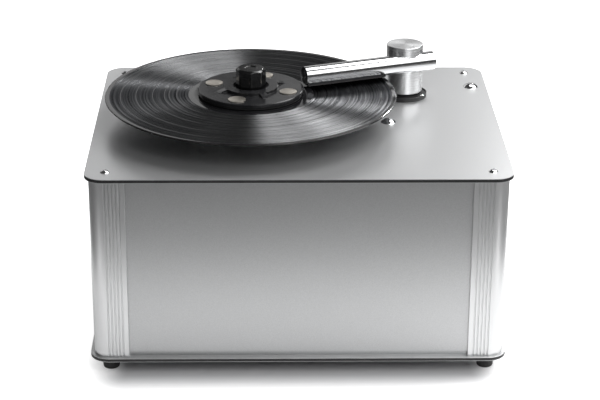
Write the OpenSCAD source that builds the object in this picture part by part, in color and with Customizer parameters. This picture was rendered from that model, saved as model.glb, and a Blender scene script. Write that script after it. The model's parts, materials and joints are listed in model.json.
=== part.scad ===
// Record cleaning machine: a panelled case between two deck plates, a turntable with a magnetic
// record clamp, and a suction arm that turns and lifts on a hollow stem above a waste tank.
// Millimetres. X runs to the right, Y to the back and Z up; the feet stand on Z = 0.

/* [Case] */
// Width of the two deck plates
case_w = 415; // [408:1:450]
// Depth of the two deck plates
case_d = 338; // [334:1:380]
// Corner radius of the deck plates
plate_r = 19; // [14:0.5:24]
// Thickness of a deck plate, a sandwich sheet
plate_t = 4; // [3:0.5:6]
// Height of the walls between the plates
wall_h = 187; // [180:1:230]
// Thickness of the sheet walls
panel_t = 2; // [1.5:0.1:2.5]

/* [Corner profiles] */
// Distance from the edge of a plate to the profile
profile_setback = 3.8; // [2:0.1:6]
// Width of a profile on each of its two faces
profile_w = 35.5; // [34:0.5:38]
// Radius of the profile's rounded corner
profile_r = 14.8; // [10:0.2:15]
// Thickness of the lip that covers a wall's edge
profile_lip = 4; // [3:0.1:5]
// Thickness of the lip behind a wall's edge
profile_back = 2; // [1.5:0.1:3]
// Depth of the slot that a wall slides into
slot_depth = 8; // [5:0.5:9]
// Number of grooves on each face
groove_count = 5; // [3:1:5]
// Distance from one groove to the next
groove_pitch = 3.5; // [3:0.1:3.5]
// Width of a groove at its mouth
groove_w = 1.6; // [1:0.1:2]
// Depth of a groove
groove_depth = 0.9; // [0.5:0.1:1.5]
// Outer diameter of a profile's screw port
port_od = 11; // [9:0.5:13]

/* [Feet and case screws] */
// Height of a rubber foot
foot_h = 14; // [12:0.5:20]
// Diameter of a foot where it meets the plate
foot_d = 18; // [16:0.5:24]
// Diameter of a foot at the ground
foot_base_d = 16.5; // [15:0.5:22]
// Distance from the plate edges to a corner screw
screw_inset = 20; // [19:0.5:24]
// Shank diameter of a corner screw
screw_d = 5; // [4:0.5:6]
// Head diameter of a deck screw
deck_head_d = 9.3; // [8:0.1:11]
// Head height of a deck screw
deck_head_h = 2.75; // [2:0.05:3.5]

/* [Turntable] */
// Platter axis, left of the case's middle
platter_left = 47.5; // [44:0.5:50]
// Platter axis, behind the case's middle
platter_back = 0; // [-4:0.5:6]
// Diameter of the record
record_d = 300.2; // [298:0.1:303]
// Thickness of the record at its rim and label
record_t = 1.8; // [1.4:0.1:2.4]
// Height of the record's top above the deck
record_rise = 28.2; // [22:0.1:32]
// Diameter of the record's centre hole
record_hole_d = 7.24; // [7.2:0.02:7.4]
// Diameter of the platter
platter_d = 118; // [108:1:124]
// Thickness of the platter's disc
platter_t = 6; // [4:0.5:8]
// Thickness of the platter's mat
mat_t = 1; // [0.5:0.1:1.5]
// Diameter of the drive shaft
shaft_d = 12; // [10:0.5:14]
// Diameter of the spindle
spindle_d = 7; // [6.8:0.05:7.1]

/* [Record clamp] */
// Diameter of the clamp's disc
clamp_d = 108.5; // [104:0.5:112]
// Thickness of the clamp's disc
clamp_t = 4.2; // [3.5:0.1:6]
// Height of the rubber edge under the disc
clamp_edge_h = 2; // [1.5:0.1:3]
// Outer diameter of the raised ring
ring_od = 56; // [52:0.5:58]
// Inner diameter of the raised ring
ring_inner_d = 37; // [36:0.5:40]
// Height of the raised ring
ring_h = 3; // [2:0.1:5]
// Distance across the knob's flats
knob_w = 31.7; // [28:0.1:33]
// Height of the knob above the raised ring
knob_rise = 18.5; // [15:0.5:24]
// Diameter of a clamp magnet
magnet_d = 17.9; // [14:0.1:19]
// Radius of the circle of magnets
magnet_circle_r = 40.6; // [40:0.2:42]

/* [Suction arm] */
// Gap along the tube from the record's rim to the post
post_gap = 9.75; // [8:0.05:16]
// Direction of the tube from the platter axis, in degrees from X
post_bearing = 20.5; // [16:0.5:22]
// Distance from the post axis to the tube, which lies in the post's front
arm_offset = 12.6; // [11.5:0.1:12.8]
// Diameter of the post and its cap
post_d = 38.5; // [36:0.5:42]
// Height of the post's cap
cap_h = 4; // [3:0.5:6]
// Height of the cap's top above the tube
cap_rise = 7.8; // [7.5:0.1:12]
// Outer diameter of the cross tube
tube_d = 20; // [18:0.5:21]
// Wall of the cross tube
tube_wall = 1; // [0.8:0.1:1.5]
// Gap between the clamp's rim and the tube's tip
tip_gap = 4.75; // [3:0.05:8]
// Length of the tube beyond the post axis
tail_len = 26.7; // [22:0.1:32]
// Thickness of the velvet strips
velvet_t = 1.7; // [1:0.1:2]
// Width of the suction slot
slot_w = 3.5; // [2.5:0.1:4]
// Diameter of the lift stem
stem_d = 33; // [31:0.5:34]
// Diameter of the stem's neck, on which the post turns
neck_d = 24; // [22:0.5:26]
// Diameter of the air way through the stem
air_d = 16; // [12:0.5:17]
// Length of the lift stem under the deck
stem_len = 45; // [40:1:48]
// Height of the flange on the deck
flange_h = 4.5; // [3.5:0.1:6]
// Width of the flange outside the guide sleeve
flange_rim = 5.5; // [4.2:0.05:6]
// Wall of the guide sleeve
guide_wall = 2.2; // [2:0.05:3]
// Height of the dark sleeve that shows between flange and post
collar_show = 2.4; // [2:0.1:6]
// Wire diameter of the lift spring
spring_wire = 1.8; // [1.4:0.1:2]
// Curls of the lift spring
spring_curls = 5; // [3:1:5]

/* [Waste tank] */
// Gap between the tank and the right wall
tank_gap = 14.8; // [12:0.1:16]
// Depth of the tank
tank_d = 156; // [150:1:160]
// Wall of the tank
tank_wall = 2.5; // [2:0.1:4]
// Thickness of the tank's lid
lid_t = 4; // [3:0.5:5]
// Outer diameter of the drain pipe
drain_d = 14; // [12:0.5:16]
// Diameter of a dome on the deck
dome_d = 16; // [14:0.5:18]
// Height of a dome
dome_h = 4; // [3:0.1:5]

/* [Suction unit] */
// Outer diameter of the fan housing
fan_d = 116; // [108:1:118]
// Height of the fan housing
fan_h = 36; // [32:1:40]
// Diameter of the fan motor
fan_motor_d = 78; // [70:1:90]
// Height of the fan motor
fan_motor_h = 62; // [54:1:64]
// Number of impeller vanes
vane_count = 9; // [6:1:12]
// Outer diameter of the suction hose
hose_d = 31; // [28:0.5:32]
// Wall of the suction hose
hose_wall = 2.5; // [2:0.1:3]
// Radius of the hose's bends
hose_bend_r = 28; // [24:1:29]

/* [Turntable drive] */
// Diameter of the gear head
gear_d = 64; // [56:1:66]
// Height of the gear head
gear_h = 34; // [28:1:38]
// Diameter of the drive motor
motor_d = 46; // [40:1:48]
// Height of the drive motor
motor_h = 62; // [50:1:64]
// Height of the pillars that hold the motor plate
pillar_h = 18; // [14:1:22]

/* [Controls and inlet] */
// Length of a rocker switch's opening
rocker_len = 16.4; // [15:0.2:18]
// Width of a rocker switch's opening
rocker_w = 10.4; // [9:0.2:12]
// Angle that a rocker tips from its middle
rocker_tip = 8; // [6:0.5:9]
// Width of the inlet's plug cavity
inlet_w = 24; // [23.6:0.1:24.4]
// Height of the inlet's plug cavity
inlet_h = 16.5; // [16:0.1:17]
// Depth of the inlet's plug cavity
inlet_depth = 16; // [14:0.5:18]
// Length of the level window
window_len = 84; // [60:1:100]
// Width of the level window
window_w = 9; // [7:0.5:12]

/* [Hidden] */
$fn = 96;

// Clearances
fit = 0.05;         // radial, shaft in hole
seat = 0.3;         // between a moving piece and its seat
slip = 0.1;         // between pieces of one body that slide together
screw_gap = 0.2;    // radial, screw in a through hole
cut = 1;            // overshoot of a cutting tool

// Heights
floor_z = foot_h + plate_t;
ceiling_z = floor_z + wall_h;
deck_z = ceiling_z + plate_t;
record_z = deck_z + record_rise;

// Places in the plan
profile_x = case_w / 2 - profile_setback;
profile_y = case_d / 2 - profile_setback;
wall_x = profile_x - profile_lip;
wall_y = profile_y - profile_lip;
inner_x = wall_x - panel_t;
inner_y = wall_y - panel_t;
screw_x = case_w / 2 - screw_inset;
screw_y = case_d / 2 - screw_inset;
port_in = screw_inset - profile_setback;
platter_x = -platter_left;
platter_y = platter_back;
post_reach = record_d / 2 + post_gap + post_d / 2;
post_x = platter_x + post_reach * cos(post_bearing) - arm_offset * sin(post_bearing);
post_y = platter_y + post_reach * sin(post_bearing) + arm_offset * cos(post_bearing);

// Heights that hang from the ceiling: the hose, and under it the tank's lid
hose_under = 4.5;      // gap between hose and ceiling
spigot_h = 12;
spigot_gap = 2;        // straight hose above a spigot
seal_t = 1;
hose_z = ceiling_z - hose_under - hose_d / 2;
lid_z = hose_z - hose_bend_r - spigot_gap - spigot_h - lid_t;
tank_h = lid_z - seal_t - floor_z;
tank_w = 2 * (inner_x - tank_gap - post_x);

// Round box outline, made of true arcs
module round_rect(w, d, r) {
    square([w - 2 * r, d], center = true);
    square([w, d - 2 * r], center = true);
    for (sx = [-1, 1], sy = [-1, 1])
        translate([sx * (w / 2 - r), sy * (d / 2 - r)]) circle(r);
}

module round_slab(w, d, h, r) {
    linear_extrude(h) round_rect(w, d, r);
}

module at_corners(x, y) {
    for (sx = [-1, 1], sy = [-1, 1]) translate([sx * x, sy * y, 0]) children();
}

module ring(od, id, h) {
    difference() {
        cylinder(d = od, h = h);
        translate([0, 0, -cut]) cylinder(d = id, h = h + 2 * cut);
    }
}

// A low dome of diameter d and height h, cut from a sphere
module dome(d, h) {
    ball_r = (d * d / 4 + h * h) / (2 * h);
    intersection() {
        translate([0, 0, h - ball_r]) sphere(ball_r, $fn = 128);
        cylinder(d = d, h = h);
    }
}

// Deck and bottom plates

arm_hole_d = stem_d + 2 * (fit + guide_wall) + 2 * slip;
bush_wall = 5;
bush_d = shaft_d + 2 * bush_wall;
dome_shank_d = 6;
front_dome_from_post = [-21.6, -83.45];
rear_dome_from_corner = [-17, -66.5];
front_dome = [post_x, post_y] + front_dome_from_post;
rear_dome = [case_w / 2, case_d / 2] + rear_dome_from_corner;
guide_screw_d = 2.4;
plate_screw_d = 4;
plate_screw_head_d = 8;
plate_screw_r = 44;

module top_plate() {
    color("silver")
    translate([0, 0, ceiling_z]) difference() {
        round_slab(case_w, case_d, plate_t, plate_r);
        at_corners(screw_x, screw_y) drill(screw_d + 2 * screw_gap);
        for (p = [front_dome, rear_dome]) translate(p) drill(dome_shank_d + 2 * screw_gap);
        translate([post_x, post_y]) {
            drill(arm_hole_d);
            at_guide_screws() drill(guide_screw_d + 2 * slip);
        }
        translate([platter_x, platter_y]) {
            drill(bush_d + 2 * slip);
            at_motor_screws() {
                drill(plate_screw_d + 2 * screw_gap);
                translate([0, 0, plate_t - sink_h]) sink(screw_gap);
            }
        }
    }
}

// A through hole in a deck plate
module drill(d) {
    translate([0, 0, -cut]) cylinder(d = d, h = plate_t + 2 * cut);
}

sink_h = 2.2;

// The cone of a countersunk head, its top at sink_h
module sink(gap) {
    cylinder(d1 = plate_screw_d + 2 * gap, d2 = plate_screw_head_d + 2 * gap, h = sink_h);
}

module at_motor_screws() {
    for (a = [45 : 90 : 315]) rotate(a) translate([plate_screw_r, 0, 0]) children();
}

module bottom_plate() {
    color("silver")
    translate([0, 0, foot_h]) difference() {
        round_slab(case_w, case_d, plate_t, plate_r);
        at_corners(screw_x, screw_y) drill(screw_d + 2 * screw_gap);
    }
}

// Corner profiles, one extruded section mirrored to each corner

groove_first = 1.2;     // from the end of the rounded corner to the middle of the first groove

module groove() {
    floor_w = groove_w - groove_depth;
    polygon([[-groove_w / 2, -cut], [groove_w / 2, -cut], [groove_w / 2, 0],
             [floor_w / 2, groove_depth], [-floor_w / 2, groove_depth], [-groove_w / 2, 0]]);
}

// The profile's outer corner is at the origin, its faces run along +X and +Y
module profile_section() {
    slot = panel_t + 2 * slip;
    depth = profile_lip + slot + profile_back;
    groove_start = profile_r + groove_first;
    difference() {
        union() {
            intersection() {
                union() {
                    square([profile_w, depth]);
                    square([depth, profile_w]);
                }
                union() {
                    translate([profile_r, profile_r]) circle(profile_r);
                    translate([profile_r, 0]) square(profile_w);
                    translate([0, profile_r]) square(profile_w);
                }
            }
            translate([port_in, port_in]) circle(d = port_od);
            translate([profile_lip, port_in - profile_back]) square([port_in - profile_lip, 2 * profile_back]);
            translate([port_in - profile_back, profile_lip]) square([2 * profile_back, port_in - profile_lip]);
        }
        translate([port_in, port_in]) circle(d = screw_d + 2 * slip);
        translate([profile_w - slot_depth, profile_lip]) square([slot_depth + cut, slot]);
        translate([profile_lip, profile_w - slot_depth]) square([slot, slot_depth + cut]);
        for (i = [0 : groove_count - 1]) {
            translate([groove_start + i * groove_pitch, 0]) groove();
            translate([0, groove_start + i * groove_pitch]) rotate(-90) mirror([1, 0]) groove();
        }
    }
}

// sx and sy are 1 or -1 for the corner's side in X and Y
module corner_profile(sx, sy) {
    color("gainsboro")
    translate([sx * profile_x, sy * profile_y, floor_z])
        mirror([max(sx, 0), 0, 0]) mirror([0, max(sy, 0), 0])
            linear_extrude(wall_h) profile_section();
}

// Walls

wall_half_x = profile_x - profile_w + slot_depth - seat;
wall_half_y = profile_y - profile_w + slot_depth - seat;

module wall_sheet(half) {
    translate([-half, 0, floor_z]) cube([2 * half, panel_t, wall_h]);
}

module front_panel() {
    color("silver") translate([0, slip - wall_y, 0]) wall_sheet(wall_half_x);
}

module left_panel() {
    color("silver") translate([slip - wall_x, 0, 0]) rotate(-90)
        wall_sheet(wall_half_y);
}

// Frame of a fitting in the right wall: local Z points out of the wall, local X runs along Y
module on_right_wall(y, z) {
    translate([wall_x - slip, y, z]) rotate([90, 0, 90]) children();
}

// Frame of a fitting in the rear wall: local Z points out of the wall, local X runs along -X
module on_rear_wall(x, z) {
    translate([x, wall_y - slip, z]) rotate([90, 0, 180]) children();
}

module right_panel() {
    color("silver") difference() {
        translate([wall_x - slip - panel_t, 0, 0]) rotate(90) mirror([0, 1, 0]) wall_sheet(wall_half_y);
        for (y = [suction_y, direction_y]) on_right_wall(y, control_z) switch_cut();
        on_right_wall(window_y, window_z) translate([0, 0, -panel_t - cut])
            linear_extrude(panel_t + 2 * cut) square([window_w, window_len], center = true);
    }
}

module rear_panel() {
    color("silver") difference() {
        translate([0, wall_y - slip - panel_t, 0]) wall_sheet(wall_half_x);
        on_rear_wall(mains_x, mains_z) switch_cut();
        on_rear_wall(inlet_x, inlet_z) translate([0, 0, -panel_t - cut])
            linear_extrude(panel_t + 2 * cut) translate([0, inlet_body_y])
                square([inlet_body_w + 2 * slip, inlet_body_h + 2 * slip], center = true);
        on_rear_wall(drain_x, drain_z) translate([0, 0, -panel_t - cut])
            cylinder(d = port_body_d + 2 * slip, h = panel_t + 2 * cut);
        on_rear_wall(duct_x, duct_z) translate([0, 0, -panel_t - cut])
            for (i = [0 : vent_slots - 1])
                translate([(i - (vent_slots - 1) / 2) * vent_pitch - vent_w / 2, -vent_len / 2, 0])
                    cube([vent_w, vent_len, panel_t + 2 * cut]);
    }
}

vent_slots = 5;
vent_pitch = 6;
vent_w = 3;
vent_len = 20;

// Case screws and feet

socket_w = 4;

module deck_screws() {
    color("gainsboro")
    translate([0, 0, deck_z]) at_corners(screw_x, screw_y) difference() {
        union() {
            dome(deck_head_d, deck_head_h);
            translate([0, 0, -plate_t - shank_bite]) cylinder(d = screw_d, h = plate_t + shank_bite + cut);
        }
        translate([0, 0, deck_head_h - socket_w / 2]) cylinder(d = socket_w, h = socket_w, $fn = 6);
    }
}

shank_bite = 14;
foot_recess_d = 10;
foot_recess_h = 6;
foot_round = 2;

module rubber_feet() {
    color("black") at_corners(screw_x, screw_y) difference() {
        rotate_extrude() foot_outline();
        translate([0, 0, -cut]) cylinder(d = foot_recess_d, h = foot_recess_h + cut);
        cylinder(d = screw_d + 2 * screw_gap, h = foot_h + cut);
    }
}

module foot_outline() {
    base_r = foot_base_d / 2;
    square([base_r - foot_round, foot_round]);
    translate([base_r - foot_round, foot_round]) intersection() {
        circle(foot_round);
        translate([0, -foot_round]) square(foot_round);
    }
    polygon([[0, foot_round], [base_r, foot_round], [foot_d / 2, foot_h], [0, foot_h]]);
}

foot_head_d = 9;
foot_head_h = 3;
foot_socket_h = 2;

module foot_screws() {
    color("dimgray") at_corners(screw_x, screw_y) translate([0, 0, foot_recess_h]) difference() {
        union() {
            translate([0, 0, -foot_head_h]) cylinder(d = foot_head_d, h = foot_head_h);
            cylinder(d = screw_d, h = floor_z - foot_recess_h + shank_bite);
        }
        translate([0, 0, -foot_head_h - cut]) cylinder(d = socket_w, h = cut + foot_socket_h, $fn = 6);
    }
}

// Dome bolts on the deck and the pillars that they hold over the tank

pillar_od = 12;
dome_bite = 12;
thread_run = 1;         // a threaded hole is this much deeper than its screw

module dome_bolts() {
    color("gainsboro") for (p = [front_dome, rear_dome]) translate([p.x, p.y, deck_z]) {
        dome(dome_d, dome_h);
        translate([0, 0, -plate_t - dome_bite]) cylinder(d = dome_shank_d, h = plate_t + dome_bite + cut);
    }
}

module tank_pillars() {
    color("silver") for (p = [front_dome, rear_dome]) translate([p.x, p.y, lid_z + lid_t]) difference() {
        cylinder(d = pillar_od, h = ceiling_z - lid_z - lid_t, $fn = 6);
        translate([0, 0, ceiling_z - lid_z - lid_t - dome_bite - thread_run])
            cylinder(d = dome_shank_d + 2 * slip, h = dome_bite + thread_run + cut);
    }
}

// Arm guide: the flange on the deck with the sleeve that the lift stem slides in

guide_od = stem_d + 2 * (fit + guide_wall);
guide_id = stem_d + 2 * fit;
flange_od = guide_od + 2 * flange_rim;
lip_h = 3;
guide_end_z = lid_z - lip_h;
lip_inner_d = 20;
trough_depth = 1.2;
trough_w = 3.9;
guide_screw_edge = 2.7;
guide_screw_r = flange_od / 2 - guide_screw_edge;

module arm_guide() {
    color("#202022") translate([post_x, post_y, 0]) difference() {
        union() {
            translate([0, 0, guide_end_z]) cylinder(d = guide_od, h = deck_z - guide_end_z);
            translate([0, 0, deck_z]) cylinder(d = flange_od, h = flange_h);
        }
        translate([0, 0, guide_end_z + lip_h]) cylinder(d = guide_id, h = deck_z + flange_h);
        translate([0, 0, guide_end_z - cut]) cylinder(d = lip_inner_d, h = lip_h + 2 * cut);
        translate([0, 0, deck_z + flange_h - trough_depth])
            ring(2 * guide_screw_r + trough_w, 2 * guide_screw_r - trough_w, trough_depth + cut);
        at_guide_screws() translate([0, 0, deck_z - cut])
            cylinder(d = guide_screw_d + 2 * slip, h = flange_h + 2 * cut, $fn = 24);
    }
}

guide_screw_first = -33;
guide_head_h = 1;
guide_head_d = 3.3;

module at_guide_screws() {
    for (i = [0 : 3]) rotate(guide_screw_first + 90 * i) translate([guide_screw_r, 0, 0]) children();
}

module arm_guide_screws() {
    color("gainsboro") translate([post_x, post_y, deck_z]) at_guide_screws() {
        translate([0, 0, -plate_t])
            cylinder(d = guide_screw_d, h = plate_t + flange_h - trough_depth, $fn = 24);
        translate([0, 0, flange_h - trough_depth]) cylinder(d = guide_head_d, h = guide_head_h, $fn = 24);
    }
}

// Lift spring: one unbroken wire in the guide, under the stem

spring_room = 0.5;
spring_r = guide_id / 2 - spring_wire / 2 - spring_room;
spring_z = guide_end_z + lip_h + spring_wire / 2 + slip;
spring_top = deck_z - stem_len - spring_wire / 2 - seat;
curl_rings = 8;
wire_sides = 6;
// Middle line of the wire: a straight end, the curls and a straight end
spring_path = let (n = curl_rings * spring_curls, rise = (spring_top - spring_z) / n)
    concat([[spring_r, -spring_wire, spring_z]],
           [for (i = [0 : n]) let (a = 360 * i / curl_rings)
               [spring_r * cos(a), spring_r * sin(a), spring_z + rise * i]],
           [[spring_r, spring_wire, spring_top]]);
spring_gap = min([for (i = [0 : len(spring_path) - 1 - curl_rings])
    norm(spring_path[i + curl_rings] - spring_path[i])]) - spring_wire;
echo(lift_spring_least_gap = spring_gap);

function unit(v) = v / norm(v);

// Ring of points round a path point, in the plane of the radial and vertical directions
function wire_ring(path, i) =
    let (p = path[i],
         out = unit([p.x, p.y, 0]),
         ahead = path[min(i + 1, len(path) - 1)] - path[max(i - 1, 0)],
         up = unit(cross(unit(ahead), out)),
         side = unit(cross(up, unit(ahead))))
    [for (k = [0 : wire_sides - 1]) let (a = 360 * k / wire_sides)
        p + spring_wire / 2 * (cos(a) * side + sin(a) * up)];

module lift_spring() {
    rings = len(spring_path);
    points = [for (i = [0 : rings - 1]) each wire_ring(spring_path, i)];
    sides = [for (i = [0 : rings - 2], k = [0 : wire_sides - 1])
        let (a = i * wire_sides + k, b = i * wire_sides + (k + 1) % wire_sides)
        each [[a, b, b + wire_sides], [a, b + wire_sides, a + wire_sides]]];
    first = [for (k = [1 : wire_sides - 2]) [0, k + 1, k]];
    base = (rings - 1) * wire_sides;
    last = [for (k = [1 : wire_sides - 2]) [base, base + k, base + k + 1]];
    color("silver") translate([post_x, post_y, 0])
        polyhedron(points = points, faces = concat(sides, first, last));
}

// Turntable drive

bush_flange_d = 46;
bush_flange_h = 3.5;
bush_under = 4;

module shaft_bush() {
    color("darkgoldenrod") translate([platter_x, platter_y, 0]) difference() {
        union() {
            translate([0, 0, ceiling_z - bush_under]) cylinder(d = bush_d, h = plate_t + bush_under);
            translate([0, 0, deck_z]) cylinder(d = bush_flange_d, h = bush_flange_h);
        }
        translate([0, 0, ceiling_z - bush_under - cut])
            cylinder(d = shaft_d + 2 * fit, h = plate_t + bush_under + bush_flange_h + 2 * cut);
    }
}

motor_plate_w = 74;
motor_plate_t = 3;
motor_plate_z = ceiling_z - pillar_h - motor_plate_t;
motor_plate_r = 8;
pillar_d = 9;

module motor_plate() {
    color("lightgray") translate([platter_x, platter_y, 0]) difference() {
        union() {
            translate([0, 0, motor_plate_z])
                round_slab(motor_plate_w, motor_plate_w, motor_plate_t, motor_plate_r);
            at_motor_screws() translate([0, 0, motor_plate_z + motor_plate_t - cut])
                cylinder(d = pillar_d, h = pillar_h + cut);
        }
        translate([0, 0, motor_plate_z - cut]) cylinder(d = bush_d, h = motor_plate_t + 2 * cut);
        at_motor_screws() translate([0, 0, ceiling_z - pillar_bite])
            cylinder(d = plate_screw_d + 2 * slip, h = pillar_bite + cut);
    }
}

pillar_bite = 10;
plate_socket_w = 2.8;
plate_socket_h = 1.4;

module plate_screws() {
    color("dimgray") translate([platter_x, platter_y, 0]) at_motor_screws() difference() {
        union() {
            translate([0, 0, deck_z - sink_h]) sink(0);
            translate([0, 0, ceiling_z - pillar_bite + slip])
                cylinder(d = plate_screw_d, h = plate_t + pillar_bite - sink_h);
        }
        translate([0, 0, deck_z - plate_socket_h])
            cylinder(d = plate_socket_w, h = plate_socket_h + cut, $fn = 6);
    }
}

gear_z = motor_plate_z - gear_h;
gear_bore_depth = 20;
gear_boss_d = 6;

module gear_head() {
    color("gray") translate([platter_x, platter_y, gear_z]) difference() {
        union() {
            cylinder(d = gear_d, h = gear_h);
            for (a = [0 : 60 : 300]) rotate(a)
                translate([(gear_d - gear_boss_d) / 2 + cut, 0, 0]) cylinder(d = gear_boss_d, h = gear_h);
        }
        translate([0, 0, gear_h - gear_bore_depth]) cylinder(d = shaft_d + 2 * fit, h = gear_bore_depth + cut);
    }
}

module drive_motor() {
    end_h = 5;
    end_step = 7;
    tag_t = 2;
    tag_w = 4;
    color("dimgray") translate([platter_x, platter_y, gear_z - motor_h]) {
        translate([0, 0, end_h]) cylinder(d = motor_d, h = motor_h - end_h);
        cylinder(d = motor_d - 2 * end_step, h = end_h + cut);
        for (sx = [-1, 1]) translate([sx * motor_d / 3 - tag_t / 2, -tag_w / 2, 0])
            cube([tag_t, tag_w, end_h + cut]);
    }
}

// Waste tank

tank_x = post_x;
tank_shift = 23.6;
tank_y = post_y - tank_shift;
tank_r = 10;
collar_h = 9;
collar_wall = 3.5;
hose_from_collar = 3.3;
hose_out = guide_od / 2 + slip + collar_wall + hose_from_collar + hose_d / 2;
hose_port = [post_x - hose_out * cos(45), post_y + hose_out * sin(45)];

module waste_tank() {
    pipe_start = (tank_d - tank_wall) / 2;
    color("#d8dde0", 0.6) translate([tank_x, tank_y, floor_z]) {
        difference() {
            round_slab(tank_w, tank_d, tank_h, tank_r);
            translate([0, 0, tank_wall])
                round_slab(tank_w - 2 * tank_wall, tank_d - 2 * tank_wall, tank_h, tank_r - tank_wall);
            translate([drain_x - tank_x, tank_d / 2 - tank_wall - cut, drain_z - floor_z])
                rotate([-90, 0, 0]) cylinder(d = drain_d - 2 * tank_wall, h = tank_wall + 2 * cut);
        }
        translate([drain_x - tank_x, pipe_start, drain_z - floor_z])
            rotate([-90, 0, 0]) ring(drain_d, drain_d - 2 * tank_wall, drain_pipe_end - tank_y - pipe_start);
    }
}

lid_over = 3;
pillar_land = 0.5;

module tank_lid() {
    color("#3a3d40") translate([0, 0, lid_z]) difference() {
        union() {
            translate([tank_x, tank_y, 0])
                round_slab(tank_w + 2 * lid_over, tank_d + 2 * lid_over, lid_t, tank_r + lid_over);
            translate([post_x, post_y, 0])
                cylinder(d = guide_od + 2 * (slip + collar_wall), h = lid_t + collar_h);
            translate(hose_port) cylinder(d = spigot_d, h = lid_t + spigot_h);
            translate(rear_dome) cylinder(d = pillar_od + 2 * pillar_land, h = lid_t);
            translate([tank_x + tank_w / 2 - tank_r, rear_dome.y - pillar_od / 2, 0])
                cube([rear_dome.x - tank_x - tank_w / 2 + tank_r, pillar_od, lid_t]);
        }
        translate([post_x, post_y, -cut]) cylinder(d = guide_od + 2 * slip, h = lid_t + collar_h + 2 * cut);
        translate([hose_port.x, hose_port.y, -cut])
            cylinder(d = spigot_d - 2 * spigot_wall, h = lid_t + spigot_h + 2 * cut);
        at_lid_screws() translate([0, 0, -cut])
            cylinder(d = lid_screw_d + 2 * slip, h = lid_t + 2 * cut, $fn = 24);
    }
}

module lid_seal() {
    color("#151515") translate([tank_x, tank_y, floor_z + tank_h]) difference() {
        round_slab(tank_w, tank_d, seal_t, tank_r);
        translate([0, 0, -cut])
            round_slab(tank_w - 2 * tank_wall, tank_d - 2 * tank_wall, seal_t + 2 * cut, tank_r - tank_wall);
    }
}

lid_screw_d = 3;
lid_screw_in = 1.4;
lid_screw_h = 2;

module at_lid_screws() {
    for (sx = [-1, 1], t = [-0.4, 0, 0.25])
        translate([tank_x + sx * (tank_w / 2 - lid_screw_in), tank_y + t * tank_d, 0]) children();
}

module lid_screws() {
    color("silver") translate([0, 0, lid_z]) at_lid_screws() {
        cylinder(d = lid_screw_d, h = lid_t, $fn = 24);
        translate([0, 0, lid_t]) cylinder(d = 2 * lid_screw_d, h = lid_screw_h, $fn = 24);
    }
}

// Drain port in the rear wall and its plug

port_wall = 3;
port_body_d = drain_d + 2 * port_wall;
port_depth = 12;
port_flange_d = 26;
port_flange_h = 2.4;
port_gap = 6.2;        // flange to the corner profile
port_floor_gap = 1;
drain_x = profile_x - profile_w - port_gap - port_flange_d / 2;
drain_z = floor_z + port_floor_gap + port_flange_d / 2;
plug_d = drain_d - 2 * tank_wall;
plug_len = 7;
plug_head_d = 20;
plug_head_h = 4;
plug_grip_d = 6;
plug_grip_out = 2;
drain_pipe_gap = 4;
drain_pipe_end = inner_y - slip - drain_pipe_gap;

module drain_port() {
    color("#242426") on_rear_wall(drain_x, drain_z) difference() {
        union() {
            cylinder(d = port_flange_d, h = port_flange_h);
            translate([0, 0, -port_depth]) cylinder(d = port_body_d, h = port_depth + cut);
        }
        translate([0, 0, -port_depth - cut])
            cylinder(d = drain_d + 2 * slip, h = port_depth + cut - plug_len + port_flange_h);
        translate([0, 0, -port_depth]) cylinder(d = plug_d + 2 * fit, h = port_depth + port_flange_h + cut);
    }
}

module drain_plug() {
    color("#1b1b1d") on_rear_wall(drain_x, drain_z) {
        translate([0, 0, port_flange_h - plug_len + seat]) cylinder(d = plug_d, h = plug_len);
        translate([0, 0, port_flange_h + seat]) difference() {
            cylinder(d = plug_head_d, h = plug_head_h);
            for (a = [0 : 45 : 315]) rotate(a) translate([plug_head_d / 2 + plug_grip_out, 0, -cut])
                cylinder(d = plug_grip_d, h = plug_head_h + 2 * cut, $fn = 32);
        }
    }
}

// Level window in the right wall, beside the tank

window_y = tank_y;
window_low = 18;
window_z = floor_z + window_len / 2 + window_low;
window_proud = 0.8;
window_rim = 3;
window_back = 1;
window_r = 1;
window_back_r = 2;

module level_window() {
    color("#cfe4ea", 0.5) on_right_wall(window_y, window_z) {
        translate([0, 0, -panel_t])
            linear_extrude(panel_t + window_proud)
                round_rect(window_w - 2 * slip, window_len - 2 * slip, window_r);
        translate([0, 0, -panel_t - window_back])
            linear_extrude(window_back)
                round_rect(window_w + 2 * window_rim, window_len + 2 * window_rim, window_back_r);
    }
}

// Suction unit, at the rear left: motor below, fan above, outlet to the rear slots

duct_gap = 2;
duct_len = 19.1;
outlet_w = 36;
outlet_h = 26;
outlet_neck = 4;
outlet_reach = fan_d / 2 + outlet_neck;
fan_x = profile_w + duct_gap + fan_d / 2 - profile_x;
fan_y = inner_y - slip - duct_len - outlet_reach;
cradle_h = 5;
cradle_rim = 7;
cradle_grip = 8;
fan_z = floor_z + cradle_h + fan_motor_h;
fan_wall = 2.5;
duct_x = fan_x - fan_d / 2 + outlet_w / 2;
duct_z = fan_z + fan_wall + outlet_h / 2;
spigot_d = hose_d - 2 * hose_wall - 2 * slip;
spigot_wall = 2;
fan_shaft_d = 8;
fan_shaft_gap = 3;
fan_room = 7;          // between the impeller and the housing's outside
impeller_d = fan_d - 2 * fan_room;
impeller_head = 12;     // height of the housing above and below the impeller, in all
impeller_h = fan_h - impeller_head;

module motor_cradle() {
    color("#18181a") translate([fan_x, fan_y, floor_z]) difference() {
        cylinder(d = fan_motor_d + 2 * cradle_rim, h = cradle_h + cradle_grip);
        translate([0, 0, cradle_h]) cylinder(d = fan_motor_d + 2 * slip, h = cradle_grip + cut);
    }
}

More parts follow.
